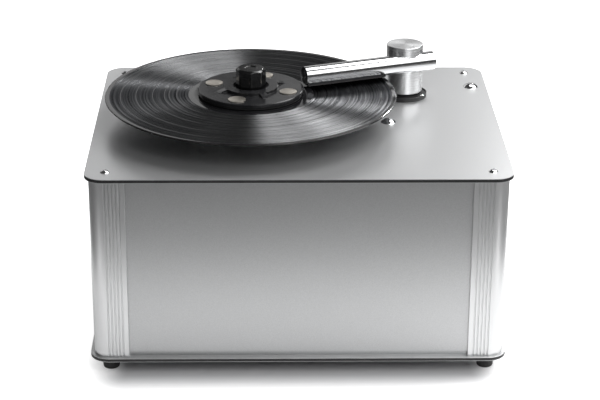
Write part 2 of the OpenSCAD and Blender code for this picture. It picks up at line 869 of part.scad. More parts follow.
module fan_motor() {
    bell_step = 8;
    bell_d = fan_motor_d - 2 * bell_step;
    bell_h = 14;
    color("gray") translate([fan_x, fan_y, floor_z + cradle_h]) difference() {
        union() {
            cylinder(d = fan_motor_d, h = fan_motor_h - bell_h);
            translate([0, 0, fan_motor_h - bell_h - cut]) cylinder(d = bell_d, h = bell_h + cut);
        }
        translate([0, 0, fan_motor_h / 2]) cylinder(d = fan_shaft_d + 2 * fit, h = fan_motor_h);
    }
}

// Plan of the housing with its outlet; inset is the wall taken off, past the outlet's mouth by over
module fan_plan(inset, over) {
    circle(d = fan_d - 2 * inset);
    translate([inset - fan_d / 2, 0]) square([outlet_w - 2 * inset, outlet_reach + over]);
}

module fan_housing() {
    color("#2b2d30") translate([fan_x, fan_y, fan_z]) difference() {
        linear_extrude(fan_h) fan_plan(0, 0);
        translate([0, 0, fan_wall]) linear_extrude(fan_h) fan_plan(fan_wall, cut);
        translate([0, 0, -cut]) cylinder(d = fan_shaft_d + 2 * fan_shaft_gap, h = fan_wall + 2 * cut);
    }
}

module fan_cover() {
    color("#3a3d40") translate([fan_x, fan_y, fan_z + fan_h]) difference() {
        union() {
            linear_extrude(fan_wall) fan_plan(0, 0);
            cylinder(d = spigot_d, h = fan_wall + spigot_h);
        }
        translate([0, 0, -cut]) cylinder(d = spigot_d - 2 * spigot_wall, h = fan_wall + spigot_h + 2 * cut);
    }
}

module exhaust_duct() {
    start_y = fan_y + outlet_reach;
    duct_h = fan_h + fan_wall;
    color("#18181a") translate([duct_x, start_y, fan_z]) difference() {
        translate([-outlet_w / 2, 0, 0]) cube([outlet_w, inner_y - slip - start_y, duct_h]);
        translate([-outlet_w / 2 + fan_wall, -cut, fan_wall])
            cube([outlet_w - 2 * fan_wall, inner_y - start_y + 2 * cut, duct_h - 2 * fan_wall]);
    }
}

vane_t = 1.6;
vane_arc_share = 0.4;
vane_arc_r = impeller_d * vane_arc_share;
eye_d = spigot_d;

module vane() {
    intersection() {
        translate([0, vane_arc_r]) difference() {
            circle(vane_arc_r);
            circle(vane_arc_r - vane_t);
        }
        difference() {
            circle(d = impeller_d - vane_t);
            circle(d = eye_d + vane_t);
        }
        square(impeller_d);
    }
}

module impeller() {
    disc_t = 1.6;
    boss_wall = 4;
    boss_d = fan_shaft_d + 2 * boss_wall;
    floor_gap = 3;
    bottom = fan_wall + floor_gap;
    color("silver") translate([fan_x, fan_y, fan_z + bottom]) {
        cylinder(d = impeller_d, h = disc_t);
        cylinder(d = boss_d, h = impeller_h / 2);
        translate([0, 0, disc_t / 2]) linear_extrude(impeller_h - disc_t)
            for (i = [0 : vane_count - 1]) rotate(360 * i / vane_count) vane();
        translate([0, 0, impeller_h - disc_t]) ring(impeller_d, eye_d, disc_t);
        translate([0, 0, -bottom - fan_motor_h / 2 + seat])
            cylinder(d = fan_shaft_d, h = bottom + fan_motor_h / 2);
    }
}

// Suction hose from the fan to the tank's lid. Its frame stands on the fan axis and local X points
// at the lid's port: two straight legs, two moulded elbows and a straight run
hose_span = norm(hose_port - [fan_x, fan_y]);
hose_bearing = atan2(hose_port.y - fan_y, hose_port.x - fan_x);
elbow_swell = 0.6;
elbow_lap = 1;

module hose_leg(x, low_z) {
    translate([x, 0, low_z])
        ring(hose_d, hose_d - 2 * hose_wall, hose_z - hose_bend_r - low_z + elbow_lap);
}

// A quarter bend that leaves a leg at x and turns towards side (1 or -1) along local X
module hose_elbow(x, side) {
    translate([x + side * hose_bend_r, 0, hose_z - hose_bend_r])
        rotate([90, 0, 0]) rotate(side > 0 ? 90 : 0)
            rotate_extrude(angle = 90) translate([hose_bend_r, 0]) elbow_outline();
}

module elbow_outline() {
    difference() {
        circle(d = hose_d + 2 * elbow_swell, $fn = 48);
        circle(d = hose_d - 2 * hose_wall - elbow_swell, $fn = 48);
    }
}

module suction_hose() {
    color("#26282b") translate([fan_x, fan_y, 0]) rotate(hose_bearing) {
        hose_leg(0, fan_z + fan_h + fan_wall);
        hose_leg(hose_span, lid_z + lid_t);
        hose_elbow(0, 1);
        hose_elbow(hose_span, -1);
        translate([hose_bend_r - elbow_lap, 0, hose_z]) rotate([0, 90, 0])
            ring(hose_d, hose_d - 2 * hose_wall, hose_span - 2 * hose_bend_r + 2 * elbow_lap);
    }
}

// Control board on four pillars, at the front left

board_w = 110;
board_d = 86;
board_t = 1.6;
board_rise = 8;
board_from_corner = [82, 74];
board_x = board_from_corner.x - case_w / 2;
board_y = board_from_corner.y - case_d / 2;
board_r = 3;
standoff_d = 6;

module control_board() {
    color("darkgreen") translate([board_x, board_y, floor_z]) {
        translate([0, 0, board_rise]) round_slab(board_w, board_d, board_t, board_r);
        at_corners(board_w / 2 - standoff_d, board_d / 2 - standoff_d)
            cylinder(d = standoff_d, h = board_rise + cut, $fn = 6);
    }
}

module board_parts() {
    top = floor_z + board_rise + board_t;
    transformer = [38, 42, 32];
    transformer_corner = [-42, -22, 0];
    can_d = 16;
    can_h = 26;
    can_place = [14, 20, 0];
    can_pitch = 20;
    relay = [18, 14, 16];
    relay_corner = [6, -10, 0];
    relay_pitch = 24;
    terminals = [40, 8, 11];
    terminals_corner = [8, -34, 0];
    color("#333333") translate([board_x, board_y, top]) {
        translate(transformer_corner) cube(transformer);
        for (i = [0 : 1]) translate(can_place + [can_pitch * i, 0, 0]) cylinder(d = can_d, h = can_h);
        for (i = [0 : 1]) translate(relay_corner + [relay_pitch * i, 0, 0]) cube(relay);
        translate(terminals_corner) cube(terminals);
    }
}

// Rocker switches. Local Z points out of the wall and the rocker tips about local X

control_drop = 34;
control_from_front = 62;
control_pitch = 30;
control_z = ceiling_z - control_drop;
suction_y = control_from_front - case_d / 2;
direction_y = suction_y + control_pitch;
bezel_h = 2;
bezel_rim = 2.4;
bezel_r = 2;
body_wall = 1.4;
body_depth = 14;
pin_z = -1.2;
pin_d = 2;
pocket_depth = 5;
pocket_z = pin_z - pocket_depth;

module switch_cut() {
    translate([0, 0, -panel_t - cut]) linear_extrude(panel_t + 2 * cut)
        square([rocker_w + 2 * (body_wall + slip), rocker_len + 2 * (body_wall + slip)], center = true);
}

module switch_bezel() {
    rim = body_wall + bezel_rim;
    difference() {
        union() {
            round_slab(rocker_w + 2 * rim, rocker_len + 2 * rim, bezel_h, bezel_r);
            translate([0, 0, -body_depth]) linear_extrude(body_depth + cut)
                square([rocker_w + 2 * body_wall, rocker_len + 2 * body_wall], center = true);
        }
        translate([0, 0, pocket_z]) linear_extrude(bezel_h - pocket_z + cut)
            square([rocker_w, rocker_len], center = true);
    }
    translate([0, 0, pin_z]) rotate([0, 90, 0])
        cylinder(d = pin_d, h = rocker_w + body_wall, center = true, $fn = 32);
}

module switch_bezels() {
    color("#1c1c1e") {
        for (y = [suction_y, direction_y]) on_right_wall(y, control_z) switch_bezel();
        on_rear_wall(mains_x, mains_z) switch_bezel();
    }
}

// tip is the rocker's angle at rest
module rocker(tip) {
    end_gap = 0.6;
    half = rocker_len / 2 - end_gap;
    dish = 3.2;
    crest = 4.2;
    root = 2;
    translate([0, 0, pin_z]) rotate([tip, 0, 0]) rotate([90, 0, 90])
        translate([0, 0, -rocker_w / 2 + seat]) linear_extrude(rocker_w - 2 * seat) difference() {
            polygon([[-half, -root], [half, -root], [half, crest], [0, dish], [-half, crest]]);
            circle(d = pin_d + 2 * fit, $fn = 48);
        }
}

module mains_rocker() {
    color("#101012") on_rear_wall(mains_x, mains_z) rocker(rocker_tip);
}

module suction_rocker() {
    color("#101012") on_right_wall(suction_y, control_z) rocker(rocker_tip);
}

module direction_rocker() {
    color("#101012") on_right_wall(direction_y, control_z) rocker(0);
}

// Power inlet in the rear wall: plug cavity with three pins, fuse drawer below it

inlet_x = -20;
inlet_rise = 42;
inlet_z = floor_z + inlet_rise;
mains_rise = 42;
mains_x = inlet_x;
mains_z = inlet_z + mains_rise;
inlet_wall = 1.4;
inlet_back = 4;
drawer_gap = 1;
drawer_w = 16;
drawer_h = 6;
drawer_len = 15;
drawer_y = -inlet_h / 2 - inlet_wall - drawer_gap - drawer_h / 2;
inlet_body_w = inlet_w + 2 * inlet_wall;
inlet_body_h = inlet_h + 3 * inlet_wall + drawer_h + drawer_gap;
inlet_body_y = inlet_h / 2 + inlet_wall - inlet_body_h / 2;
inlet_flange = 3;
inlet_flange_h = 2;
inlet_flange_r = 2.5;
pin_pitch = 7;

// Plug cavity outline, with its two bevelled upper corners
module cavity_outline() {
    bevel = 4;
    x = inlet_w / 2;
    y = inlet_h / 2;
    polygon([[-x, -y], [x, -y], [x, y - bevel], [x - bevel, y], [bevel - x, y], [-x, y - bevel]]);
}

module power_inlet() {
    color("#161618") on_rear_wall(inlet_x, inlet_z) difference() {
        union() {
            translate([0, inlet_body_y, 0])
                round_slab(inlet_body_w + 2 * inlet_flange, inlet_body_h + 2 * inlet_flange,
                           inlet_flange_h, inlet_flange_r);
            translate([0, inlet_body_y, -inlet_depth - inlet_back])
                linear_extrude(inlet_depth + inlet_back + cut)
                    square([inlet_body_w, inlet_body_h], center = true);
        }
        translate([0, 0, -inlet_depth + inlet_flange_h]) linear_extrude(inlet_depth + cut) cavity_outline();
        translate([0, drawer_y, inlet_flange_h - drawer_len - seat]) linear_extrude(drawer_len + seat + cut)
            square([drawer_w + 2 * seat, drawer_h + 2 * seat], center = true);
    }
}

pin_w = 2;
pin_h = 4;
pin_short = 3;          // the pins end this far inside the cavity's mouth
pin_len = inlet_depth - pin_short;
pin_drop = 2;           // middle pin above and outer pins below the cavity's middle

module inlet_pins() {
    color("gold") on_rear_wall(inlet_x, inlet_z) translate([0, 0, inlet_flange_h - inlet_depth])
        for (i = [-1 : 1]) translate([pin_pitch * i, pin_drop * (1 - 2 * abs(i)), 0])
            linear_extrude(pin_len) square([pin_w, pin_h], center = true);
}

module fuse_drawer() {
    front_t = 1.8;
    front_r = 1;
    side_over = 1.5;
    top_over = 0.5;
    front_w = drawer_w + 2 * side_over;
    front_h = drawer_h + 2 * top_over;
    notch_w = 8;
    notch_d = 2;
    color("#1b1b1d") on_rear_wall(inlet_x, inlet_z) translate([0, drawer_y, inlet_flange_h]) {
        translate([0, 0, -drawer_len]) linear_extrude(drawer_len + seat + cut)
            square([drawer_w, drawer_h], center = true);
        translate([0, 0, seat]) difference() {
            round_slab(front_w, front_h, front_t, front_r);
            translate([0, front_h / 2, front_t / 3]) rotate([0, 90, 0])
                cylinder(d = notch_d, h = notch_w, center = true, $fn = 32);
        }
    }
}

// Turntable

platter_top_z = record_z - record_t - mat_t;
hub_d = 40;
hub_hollow = 6;        // rim and hub left beside the platter's underside hollow
spindle_rise = 20;
spindle_top_z = record_z + spindle_rise;
spindle_point = 1;
shaft_step = 2;        // top of the thick shaft, below the platter's top
platter_seat_z = deck_z + bush_flange_h + seat;

module drive_shaft() {
    color("silver") translate([platter_x, platter_y, 0]) {
        translate([0, 0, gear_z + gear_h - gear_bore_depth + seat])
            cylinder(d = shaft_d, h = platter_top_z - shaft_step - (gear_z + gear_h - gear_bore_depth + seat));
        translate([0, 0, platter_top_z - shaft_step - cut])
            cylinder(d = spindle_d, h = spindle_top_z - spindle_point - platter_top_z + shaft_step + cut);
        translate([0, 0, spindle_top_z - spindle_point])
            cylinder(d1 = spindle_d, d2 = spindle_d - 2 * spindle_point, h = spindle_point);
    }
}

module platter() {
    color("silver") translate([platter_x, platter_y, 0]) difference() {
        union() {
            translate([0, 0, platter_top_z - platter_t]) cylinder(d = platter_d, h = platter_t);
            translate([0, 0, platter_seat_z]) cylinder(d = hub_d, h = platter_top_z - platter_seat_z - cut);
        }
        translate([0, 0, platter_top_z - platter_t - cut])
            ring(platter_d - 2 * hub_hollow, hub_d + 2 * hub_hollow, platter_t / 2 + cut);
        translate([0, 0, platter_seat_z - cut])
            cylinder(d = shaft_d + 2 * slip, h = platter_top_z - shaft_step - platter_seat_z + cut + slip);
        cylinder(d = spindle_d + 2 * slip, h = record_z);
    }
}

module platter_mat() {
    color("#202020") translate([platter_x, platter_y, platter_top_z])
        ring(platter_d, spindle_d + mat_hole_gap, mat_t);
}

mat_hole_gap = 4;
label_d = 100;
label_land = 8;        // flat vinyl outside the label
label_t = 0.15;
rim_w = 4.6;
rim_slope = 1;
rim_bevel = 0.5;
groove_sink = 0.2;
runout_d = 129;

module record() {
    r = record_d / 2;
    low = -record_t;
    color("#0c0c0d") translate([platter_x, platter_y, record_z]) rotate_extrude($fn = 180) polygon([
        [record_hole_d / 2, low], [label_d / 2 + label_land, low], [runout_d / 2, low + groove_sink],
        [r - rim_w, low + groove_sink], [r - rim_w + rim_slope, low], [r - rim_bevel, low],
        [r, low + rim_bevel], [r, -rim_bevel], [r - rim_bevel, 0], [r - rim_w + rim_slope, 0],
        [r - rim_w, -groove_sink],
        [runout_d / 2, -groove_sink], [label_d / 2 + label_land, 0], [label_d / 2, 0],
        [label_d / 2, -label_t], [record_hole_d / 2, -label_t]]);
}

module record_label() {
    color("#26272a") translate([platter_x, platter_y, record_z - label_t])
        ring(label_d - 2 * slip, record_hole_d, label_t);
}

// Record clamp

edge_z = record_z + seat;
clamp_z = edge_z + clamp_edge_h;
clamp_top_z = clamp_z + clamp_t;
clamp_bevel = 0.7;
edge_in = 1;           // rubber edge inside the disc's rim
edge_w = 10;
magnet_gap = 0.4;
magnet_t = 2.2;
magnet_sink = 1.2;
magnet_first = -20;
ramp_first = 25;
ramp_len = 10.5;
ramp_w = 7;
ramp_toe = 0.25;
ramp_lap = 1;
clamp_bore_d = spindle_d + 2 * fit;

module at_magnets() {
    for (i = [0 : 3]) rotate(magnet_first + 90 * i) translate([magnet_circle_r, 0, 0])
        rotate(-magnet_first - 90 * i) children();
}

module ramp() {
    rotate([90, 0, 0]) translate([ring_od / 2 - ramp_lap, 0, -ramp_w / 2]) linear_extrude(ramp_w)
        polygon([[0, -cut], [ramp_len, -cut], [ramp_len, ramp_toe], [ramp_lap, ring_h], [0, ring_h]]);
}

module clamp_body() {
    color("#232325") translate([platter_x, platter_y, clamp_z]) difference() {
        union() {
            cylinder(d = clamp_d, h = clamp_t - clamp_bevel);
            translate([0, 0, clamp_t - clamp_bevel])
                cylinder(d1 = clamp_d, d2 = clamp_d - 2 * clamp_bevel, h = clamp_bevel);
            translate([0, 0, clamp_t - cut]) cylinder(d = ring_od, h = ring_h + cut);
            for (i = [0 : 3]) rotate(ramp_first + 90 * i) translate([0, 0, clamp_t]) ramp();
        }
        translate([0, 0, clamp_t]) cylinder(d = ring_inner_d, h = ring_h + cut);
        translate([0, 0, -cut]) cylinder(d = clamp_bore_d, h = clamp_t + 2 * cut);
        at_magnets() translate([0, 0, clamp_t - magnet_sink])
            cylinder(d = magnet_d + 2 * magnet_gap, h = magnet_sink + cut);
    }
}

module clamp_edge() {
    edge_od = clamp_d - 2 * edge_in;
    color("#0d0d0e") translate([platter_x, platter_y, edge_z])
        ring(edge_od, edge_od - 2 * edge_w, clamp_edge_h);
}

// Each magnet has a small notch in its rim
module clamp_magnets() {
    notch_at = -100;
    notch_d = 3;
    bevel = 0.3;
    color("#b4ada2") translate([platter_x, platter_y, clamp_top_z - magnet_sink]) at_magnets() difference() {
        union() {
            cylinder(d = magnet_d, h = magnet_t - bevel);
            translate([0, 0, magnet_t - bevel]) cylinder(d1 = magnet_d, d2 = magnet_d - 2 * bevel, h = bevel);
        }
        rotate(notch_at) translate([magnet_d / 2 + magnet_gap, 0, magnet_sink])
            cylinder(d = notch_d, h = magnet_t, $fn = 32);
    }
}

knob_recess_d = 14.3;
knob_recess_h = 0.8;
knob_chamfer = 3.4;
knob_sides = 8;
knob_corner = 1.1;      // the cone that chamfers the knob stands this far outside its flats
spindle_room = 1;

module clamp_knob() {
    h = ring_h + knob_rise;
    half_turn = 180 / knob_sides;
    cone_d = knob_w + 2 * knob_corner;
    color("#131314") translate([platter_x, platter_y, clamp_top_z]) difference() {
        intersection() {
            rotate(half_turn) cylinder(d = knob_w / cos(half_turn), h = h, $fn = knob_sides);
            union() {
                cylinder(d = cone_d, h = h - knob_chamfer);
                translate([0, 0, h - knob_chamfer])
                    cylinder(d1 = cone_d, d2 = knob_w - 2 * knob_chamfer, h = knob_chamfer);
            }
        }
        translate([0, 0, h - knob_recess_h]) cylinder(d = knob_recess_d, h = knob_recess_h + cut);
        translate([0, 0, -cut])
            cylinder(d = clamp_bore_d, h = spindle_top_z + spindle_room - clamp_top_z + cut);
    }
}

// Suction arm. Its frame stands on the post axis, local X points along the tube to the platter axis
// and local Y to the front, where the tube lies in a groove across the post

tube_z = record_z + seat + velvet_t + tube_d / 2;
post_z = deck_z + flange_h + collar_show + seat;
cap_top_z = tube_z + tube_d / 2 + cap_rise;
cap_z = cap_top_z - cap_h;
neck_web = 1.6;        // between the neck and the tube
neck_top_z = tube_z - tube_d / 2 - neck_web;
tip_x = post_reach - clamp_d / 2 - tip_gap;
slot_end = 4;          // closed tube between slot and tip
slot_rim = 2.5;        // slot ends this far inside the record's rim
slot_from = tip_x - slot_end;
slot_to = post_reach - record_d / 2 + slot_rim;

module arm_frame() {
    translate([post_x, post_y, 0]) rotate(180 + post_bearing) children();
}

// Frame at the tube's middle line over the post: local Z runs along the tube to the tip
module tube_frame() {
    arm_frame() translate([0, arm_offset, tube_z]) rotate([90, 0, 90]) children();
}

module lift_stem() {
    color("#1a1a1c") translate([post_x, post_y, 0]) difference() {
        union() {
            translate([0, 0, deck_z - stem_len]) cylinder(d = stem_d, h = stem_len + flange_h + collar_show);
            translate([0, 0, deck_z]) cylinder(d = neck_d, h = neck_top_z - deck_z);
        }
        translate([0, 0, deck_z - stem_len - cut])
            cylinder(d = air_d, h = neck_top_z - deck_z + stem_len + 2 * cut);
    }
}

cap_spigot_in = 4.5;
cap_spigot_d = post_d - 2 * cap_spigot_in;
cap_spigot_h = 2.4;
cap_bevel = 0.4;
tube_screw_place = [-3.2, 10.9];
tube_screw_d = 4.5;

module arm_post() {
    color("lightgray") difference() {
        arm_frame() difference() {
            translate([0, 0, post_z]) cylinder(d = post_d, h = cap_z - post_z);
            translate([0, 0, post_z - cut])
                cylinder(d = neck_d + 2 * fit, h = neck_top_z + seat - post_z + cut);
            translate([0, 0, post_z]) cylinder(d = air_d, h = tube_z - post_z);
            translate([0, 0, cap_z - cap_spigot_h])
                cylinder(d = cap_spigot_d + 2 * slip, h = cap_spigot_h + cut);
            translate([tube_screw_place.x, tube_screw_place.y, tube_z])
                cylinder(d = tube_screw_d, h = cap_z - tube_z);
        }
        tube_frame() cylinder(d = tube_d + 2 * fit, h = 2 * post_d, center = true);
    }
}

module arm_cap() {
    color("lightgray") arm_frame() difference() {
        union() {
            translate([0, 0, cap_z]) cylinder(d = post_d, h = cap_h - cap_bevel);
            translate([0, 0, cap_top_z - cap_bevel])
                cylinder(d1 = post_d, d2 = post_d - 2 * cap_bevel, h = cap_bevel);
            translate([0, 0, cap_z - cap_spigot_h]) cylinder(d = cap_spigot_d, h = cap_spigot_h + cut);
        }
        translate([tube_screw_place.x, tube_screw_place.y, cap_z - cap_spigot_h - cut])
            cylinder(d = tube_screw_d, h = cap_spigot_h + cap_h + 2 * cut);
    }
}

module arm_tube() {
    bore_d = tube_d - 2 * tube_wall;
    color("white") difference() {
        tube_frame() translate([0, 0, -tail_len]) ring(tube_d, bore_d, tail_len + tip_x);
        arm_frame() translate([0, 0, tube_z - tube_d]) cylinder(d = air_d, h = tube_d);
        arm_frame() translate([slot_to, arm_offset - slot_w / 2, tube_z - tube_d])
            cube([slot_from - slot_to, slot_w, tube_d]);
    }
}

// Half of the velvet strips' section: a band round the tube's underside, seen along the tube
module velvet_band() {
    from = 12;
    to = 42;
    reach = tube_d;
    intersection() {
        difference() {
            circle(tube_d / 2 + velvet_t);
            circle(tube_d / 2 + fit);
        }
        polygon([[0, 0], reach * [sin(from), -cos(from)], reach * [sin(to), -cos(to)]]);
    }
}

// Velvet strips, the plugs in the tube's ends and the screw that holds the tube in the post
module arm_trim() {
    end_plug_d = tube_d - 2 * tube_wall - 2 * slip;
    end_plug_t = 3;
    end_plug_sink = 0.8;
    strip_over = 1;
    strip_from = slot_to - strip_over;
    strip_len = slot_from - slot_to + 3 * strip_over;
    screw_low = tube_z + tube_d / 2 + slip;
    screw_sink = 1.4;
    screw_high = cap_top_z - screw_sink;
    screw_socket_w = 2.3;
    screw_socket_h = 2.6;
    color("#141415") {
        tube_frame() {
            for (side = [0, 1]) mirror([side, 0, 0]) translate([0, 0, strip_from])
                linear_extrude(strip_len) velvet_band();
            translate([0, 0, tip_x - end_plug_sink - end_plug_t]) end_plug(end_plug_d, end_plug_t);
            translate([0, 0, end_plug_sink - tail_len + end_plug_t]) rotate([0, 180, 0])
                end_plug(end_plug_d, end_plug_t);
        }
        arm_frame() translate([tube_screw_place.x, tube_screw_place.y, screw_low]) difference() {
            cylinder(d = tube_screw_d - 2 * slip, h = screw_high - screw_low);
            translate([0, 0, screw_high - screw_low - screw_socket_h])
                cylinder(d = screw_socket_w, h = screw_socket_h + cut, $fn = 6);
        }
    }
}

// A plug with a ring groove and a socket in its outer face
module end_plug(d, t) {
    groove_h = 0.6;
    land = 2;
    boss_d = 7;
    socket_d = 3;
    difference() {
        cylinder(d = d, h = t);
        translate([0, 0, t - groove_h]) ring(d - 2 * land, boss_d, groove_h + cut);
        translate([0, 0, t - 2 * groove_h]) cylinder(d = socket_d, h = 2 * groove_h + cut, $fn = 6);
    }
}

top_plate();
bottom_plate();
front_panel();
rear_panel();
left_panel();
right_panel();
corner_profile(-1, -1);  // profile_front_left
corner_profile(1, -1);  // profile_front_right
corner_profile(-1, 1);  // profile_rear_left
corner_profile(1, 1);  // profile_rear_right
deck_screws();
rubber_feet();
foot_screws();
dome_bolts();
tank_pillars();
arm_guide();
arm_guide_screws();
lift_spring();
shaft_bush();
motor_plate();
plate_screws();
gear_head();
drive_motor();
waste_tank();
tank_lid();
lid_seal();
lid_screws();
drain_port();
drain_plug();
level_window();
suction_hose();
fan_housing();
fan_cover();
fan_motor();
motor_cradle();
exhaust_duct();
impeller();
control_board();
board_parts();
power_inlet();
inlet_pins();
fuse_drawer();
switch_bezels();
mains_rocker();
suction_rocker();
direction_rocker();
drive_shaft();
platter();
platter_mat();
record();
record_label();
clamp_body();
clamp_edge();
clamp_magnets();
clamp_knob();
lift_stem();
arm_post();
arm_cap();
arm_tube();
arm_trim();
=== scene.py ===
"""Looks of the record cleaning machine: finishes, fine shapes, studio and camera."""
import json
import logging
import math
from dataclasses import dataclass, field
from enum import Enum
from typing import Iterable, Optional, Sequence

import bmesh
import bpy
from mathutils import Matrix, Vector

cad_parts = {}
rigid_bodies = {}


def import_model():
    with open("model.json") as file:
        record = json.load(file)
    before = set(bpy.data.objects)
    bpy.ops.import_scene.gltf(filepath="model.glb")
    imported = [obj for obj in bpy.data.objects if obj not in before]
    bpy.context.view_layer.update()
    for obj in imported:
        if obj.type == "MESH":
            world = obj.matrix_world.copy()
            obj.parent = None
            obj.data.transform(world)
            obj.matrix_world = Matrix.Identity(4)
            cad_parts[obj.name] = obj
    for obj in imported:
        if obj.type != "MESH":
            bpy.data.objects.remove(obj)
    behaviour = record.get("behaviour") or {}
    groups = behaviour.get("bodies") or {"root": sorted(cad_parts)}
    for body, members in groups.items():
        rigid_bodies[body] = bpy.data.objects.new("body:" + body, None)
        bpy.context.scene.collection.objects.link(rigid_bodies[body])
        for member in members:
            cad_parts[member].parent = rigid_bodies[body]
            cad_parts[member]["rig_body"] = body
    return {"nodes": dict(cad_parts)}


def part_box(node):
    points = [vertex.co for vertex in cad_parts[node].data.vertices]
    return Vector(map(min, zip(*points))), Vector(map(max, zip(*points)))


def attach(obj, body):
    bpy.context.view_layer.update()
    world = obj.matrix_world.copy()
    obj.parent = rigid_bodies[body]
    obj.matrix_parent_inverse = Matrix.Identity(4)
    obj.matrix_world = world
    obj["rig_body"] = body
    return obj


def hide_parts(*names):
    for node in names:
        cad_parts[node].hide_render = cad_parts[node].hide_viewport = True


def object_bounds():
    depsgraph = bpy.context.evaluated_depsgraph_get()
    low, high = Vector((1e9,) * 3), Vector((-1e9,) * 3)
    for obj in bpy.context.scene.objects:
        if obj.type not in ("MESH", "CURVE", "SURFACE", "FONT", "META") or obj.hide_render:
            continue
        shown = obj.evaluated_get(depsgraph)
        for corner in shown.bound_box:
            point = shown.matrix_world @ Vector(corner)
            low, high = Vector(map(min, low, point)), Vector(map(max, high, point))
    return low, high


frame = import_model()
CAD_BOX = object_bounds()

Colour = tuple[float, float, float]
Flat = tuple[float, float]
Socket = bpy.types.NodeSocket
Tree = bpy.types.NodeTree
Material = bpy.types.Material
Thing = bpy.types.Object

MM = 0.001
LOG = logging.getLogger("machine")
NODES = frame["nodes"]

WELD_M = 2e-6             # vertices of a CAD mesh closer than this are one
FLAT_DEG = 0.4            # faces within this angle are merged before the rounding
SHARP_DEG = 38.0          # edges sharper than this are rounded
SMOOTH_DEG = 60.0         # edges less sharp than this are shaded smooth
REPEAT_SHARP_DEG = 40.0   # both of these for what Geometry Nodes make
EDGE_STEPS = 2            # steps across a rounding

NOISE_LOW, NOISE_HIGH = 0.3, 0.7   # usual span of a noise
QUARTER_TURN = 0.25                # turns the long axis of an anisotropic highlight
MOTTLE_PER_M = 9.0
SPECKS_PER_M = 700.0
SPECK_R = 0.07                     # radius of a speck in its cell
DUST_PER_M = 60.0
DUST_FROM = 0.62                   # specks lie only where the dust noise is above this
WHITE = (1.0, 1.0, 1.0, 1.0)

HEAD_SIDES = 64
SHANK_SIDES = 32
HEXAGON = 6
SHANK_IN_HEAD = 0.3       # a shank ends inside its head, at this share of the head's height
SOCKET_OUT = 3.0          # a socket's cutter ends above its head, at this share of the height


def mm(*values: float) -> Vector:
    """Point given in millimetres, in metres."""
    return Vector(v * MM for v in values)


def box_mm(node: str) -> tuple[Vector, Vector]:
    """Lowest and highest corner of a CAD node, in millimetres."""
    low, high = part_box(node)
    return low / MM, high / MM


def centre_mm(node: str) -> Vector:
    """Middle of a CAD node's box, in millimetres."""
    low, high = box_mm(node)
    return (low + high) / 2


def scaled(colour: Colour, share: float) -> Colour:
    """Colour times a share, at most 1."""
    return tuple(min(1.0, c * share) for c in colour)


class Slot(Enum):
    """Material slots of the record, passed along with new pieces."""

    DECK = "deck_sheet"
    WALL = "wall_sheet"
    PROFILE = "profile"
    STEEL = "polished_steel"
    RUBBER = "foot_rubber"
    TURNED = "turned_aluminium"
    POLYMER = "black_polymer"
    VINYL = "vinyl"
    CLAMP = "clamp_polymer"
    NICKEL = "nickel"
    KNOB = "knob_polymer"
    CHROME = "chrome"
    VELVET = "velvet_black"
    ROCKER = "rocker_polymer"


class Trim(Enum):
    """Material slots of the arm's trim: velvet strip, tube plug and the cap's screw."""

    STRIP = 0
    PLUG = 1
    SCREW = 2


class Edge(Enum):
    """Widths of the rounding on a piece's edges, in millimetres."""

    FINE = 0.15
    THIN = 0.2
    USUAL = 0.3
    SOFT = 0.4
    CLAMP = 0.45
    TUBE = 0.7


# Node trees


class TreeBuilder:
    """Short calls that add nodes to one tree."""

    def __init__(self, tree: Tree) -> None:
        """Keep the tree."""
        self.tree = tree

    def wire(self, node: bpy.types.Node, **inputs: object) -> bpy.types.Node:
        """Set or link a node's inputs.

        Args:
            node: a node of the tree.
            **inputs: a value or a socket for each input, given by the input's name with _ for
                a space, or as i0, i1 by its place.

        Returns:
            The node.
        """
        for key, value in inputs.items():
            by_place = key[0] == "i" and key[1:].isdigit()
            target = node.inputs[int(key[1:]) if by_place else key.replace("_", " ")]
            if isinstance(value, Socket):
                self.tree.links.new(value, target)
            else:
                target.default_value = value
        return node

    def add(self, kind: str, settings: Optional[dict[str, object]] = None,
            **inputs: object) -> bpy.types.Node:
        """Add a node.

        Args:
            kind: the node's type.
            settings: values of its properties.
            **inputs: its inputs; see wire.

        Returns:
            The node.
        """
        node = self.tree.nodes.new(kind)
        for key, value in (settings or {}).items():
            setattr(node, key, value)
        return self.wire(node, **inputs)

    def math(self, operation: str, a: object, b: object = 0.0, clamp: bool = False) -> Socket:
        """Result of a Math node on a and b, held between 0 and 1 if clamp is set."""
        settings = {"operation": operation, "use_clamp": clamp}
        return self.add("ShaderNodeMath", settings, i0=a, i1=b).outputs[0]

    def vector(self, operation: str, a: object, b: object = (0.0, 0.0, 0.0)) -> Socket:
        """Result of a Vector Math node on a and b; b is a number for SCALE."""
        second = {"i3" if operation == "SCALE" else "i1": b}
        return self.add("ShaderNodeVectorMath", {"operation": operation}, i0=a, **second).outputs[0]

    def length(self, a: Socket, b: Socket) -> Socket:
        """Length of a line that runs a along one axis and b along the other."""
        squares = [self.math("MULTIPLY", side, side) for side in (a, b)]
        return self.math("SQRT", self.math("ADD", *squares))


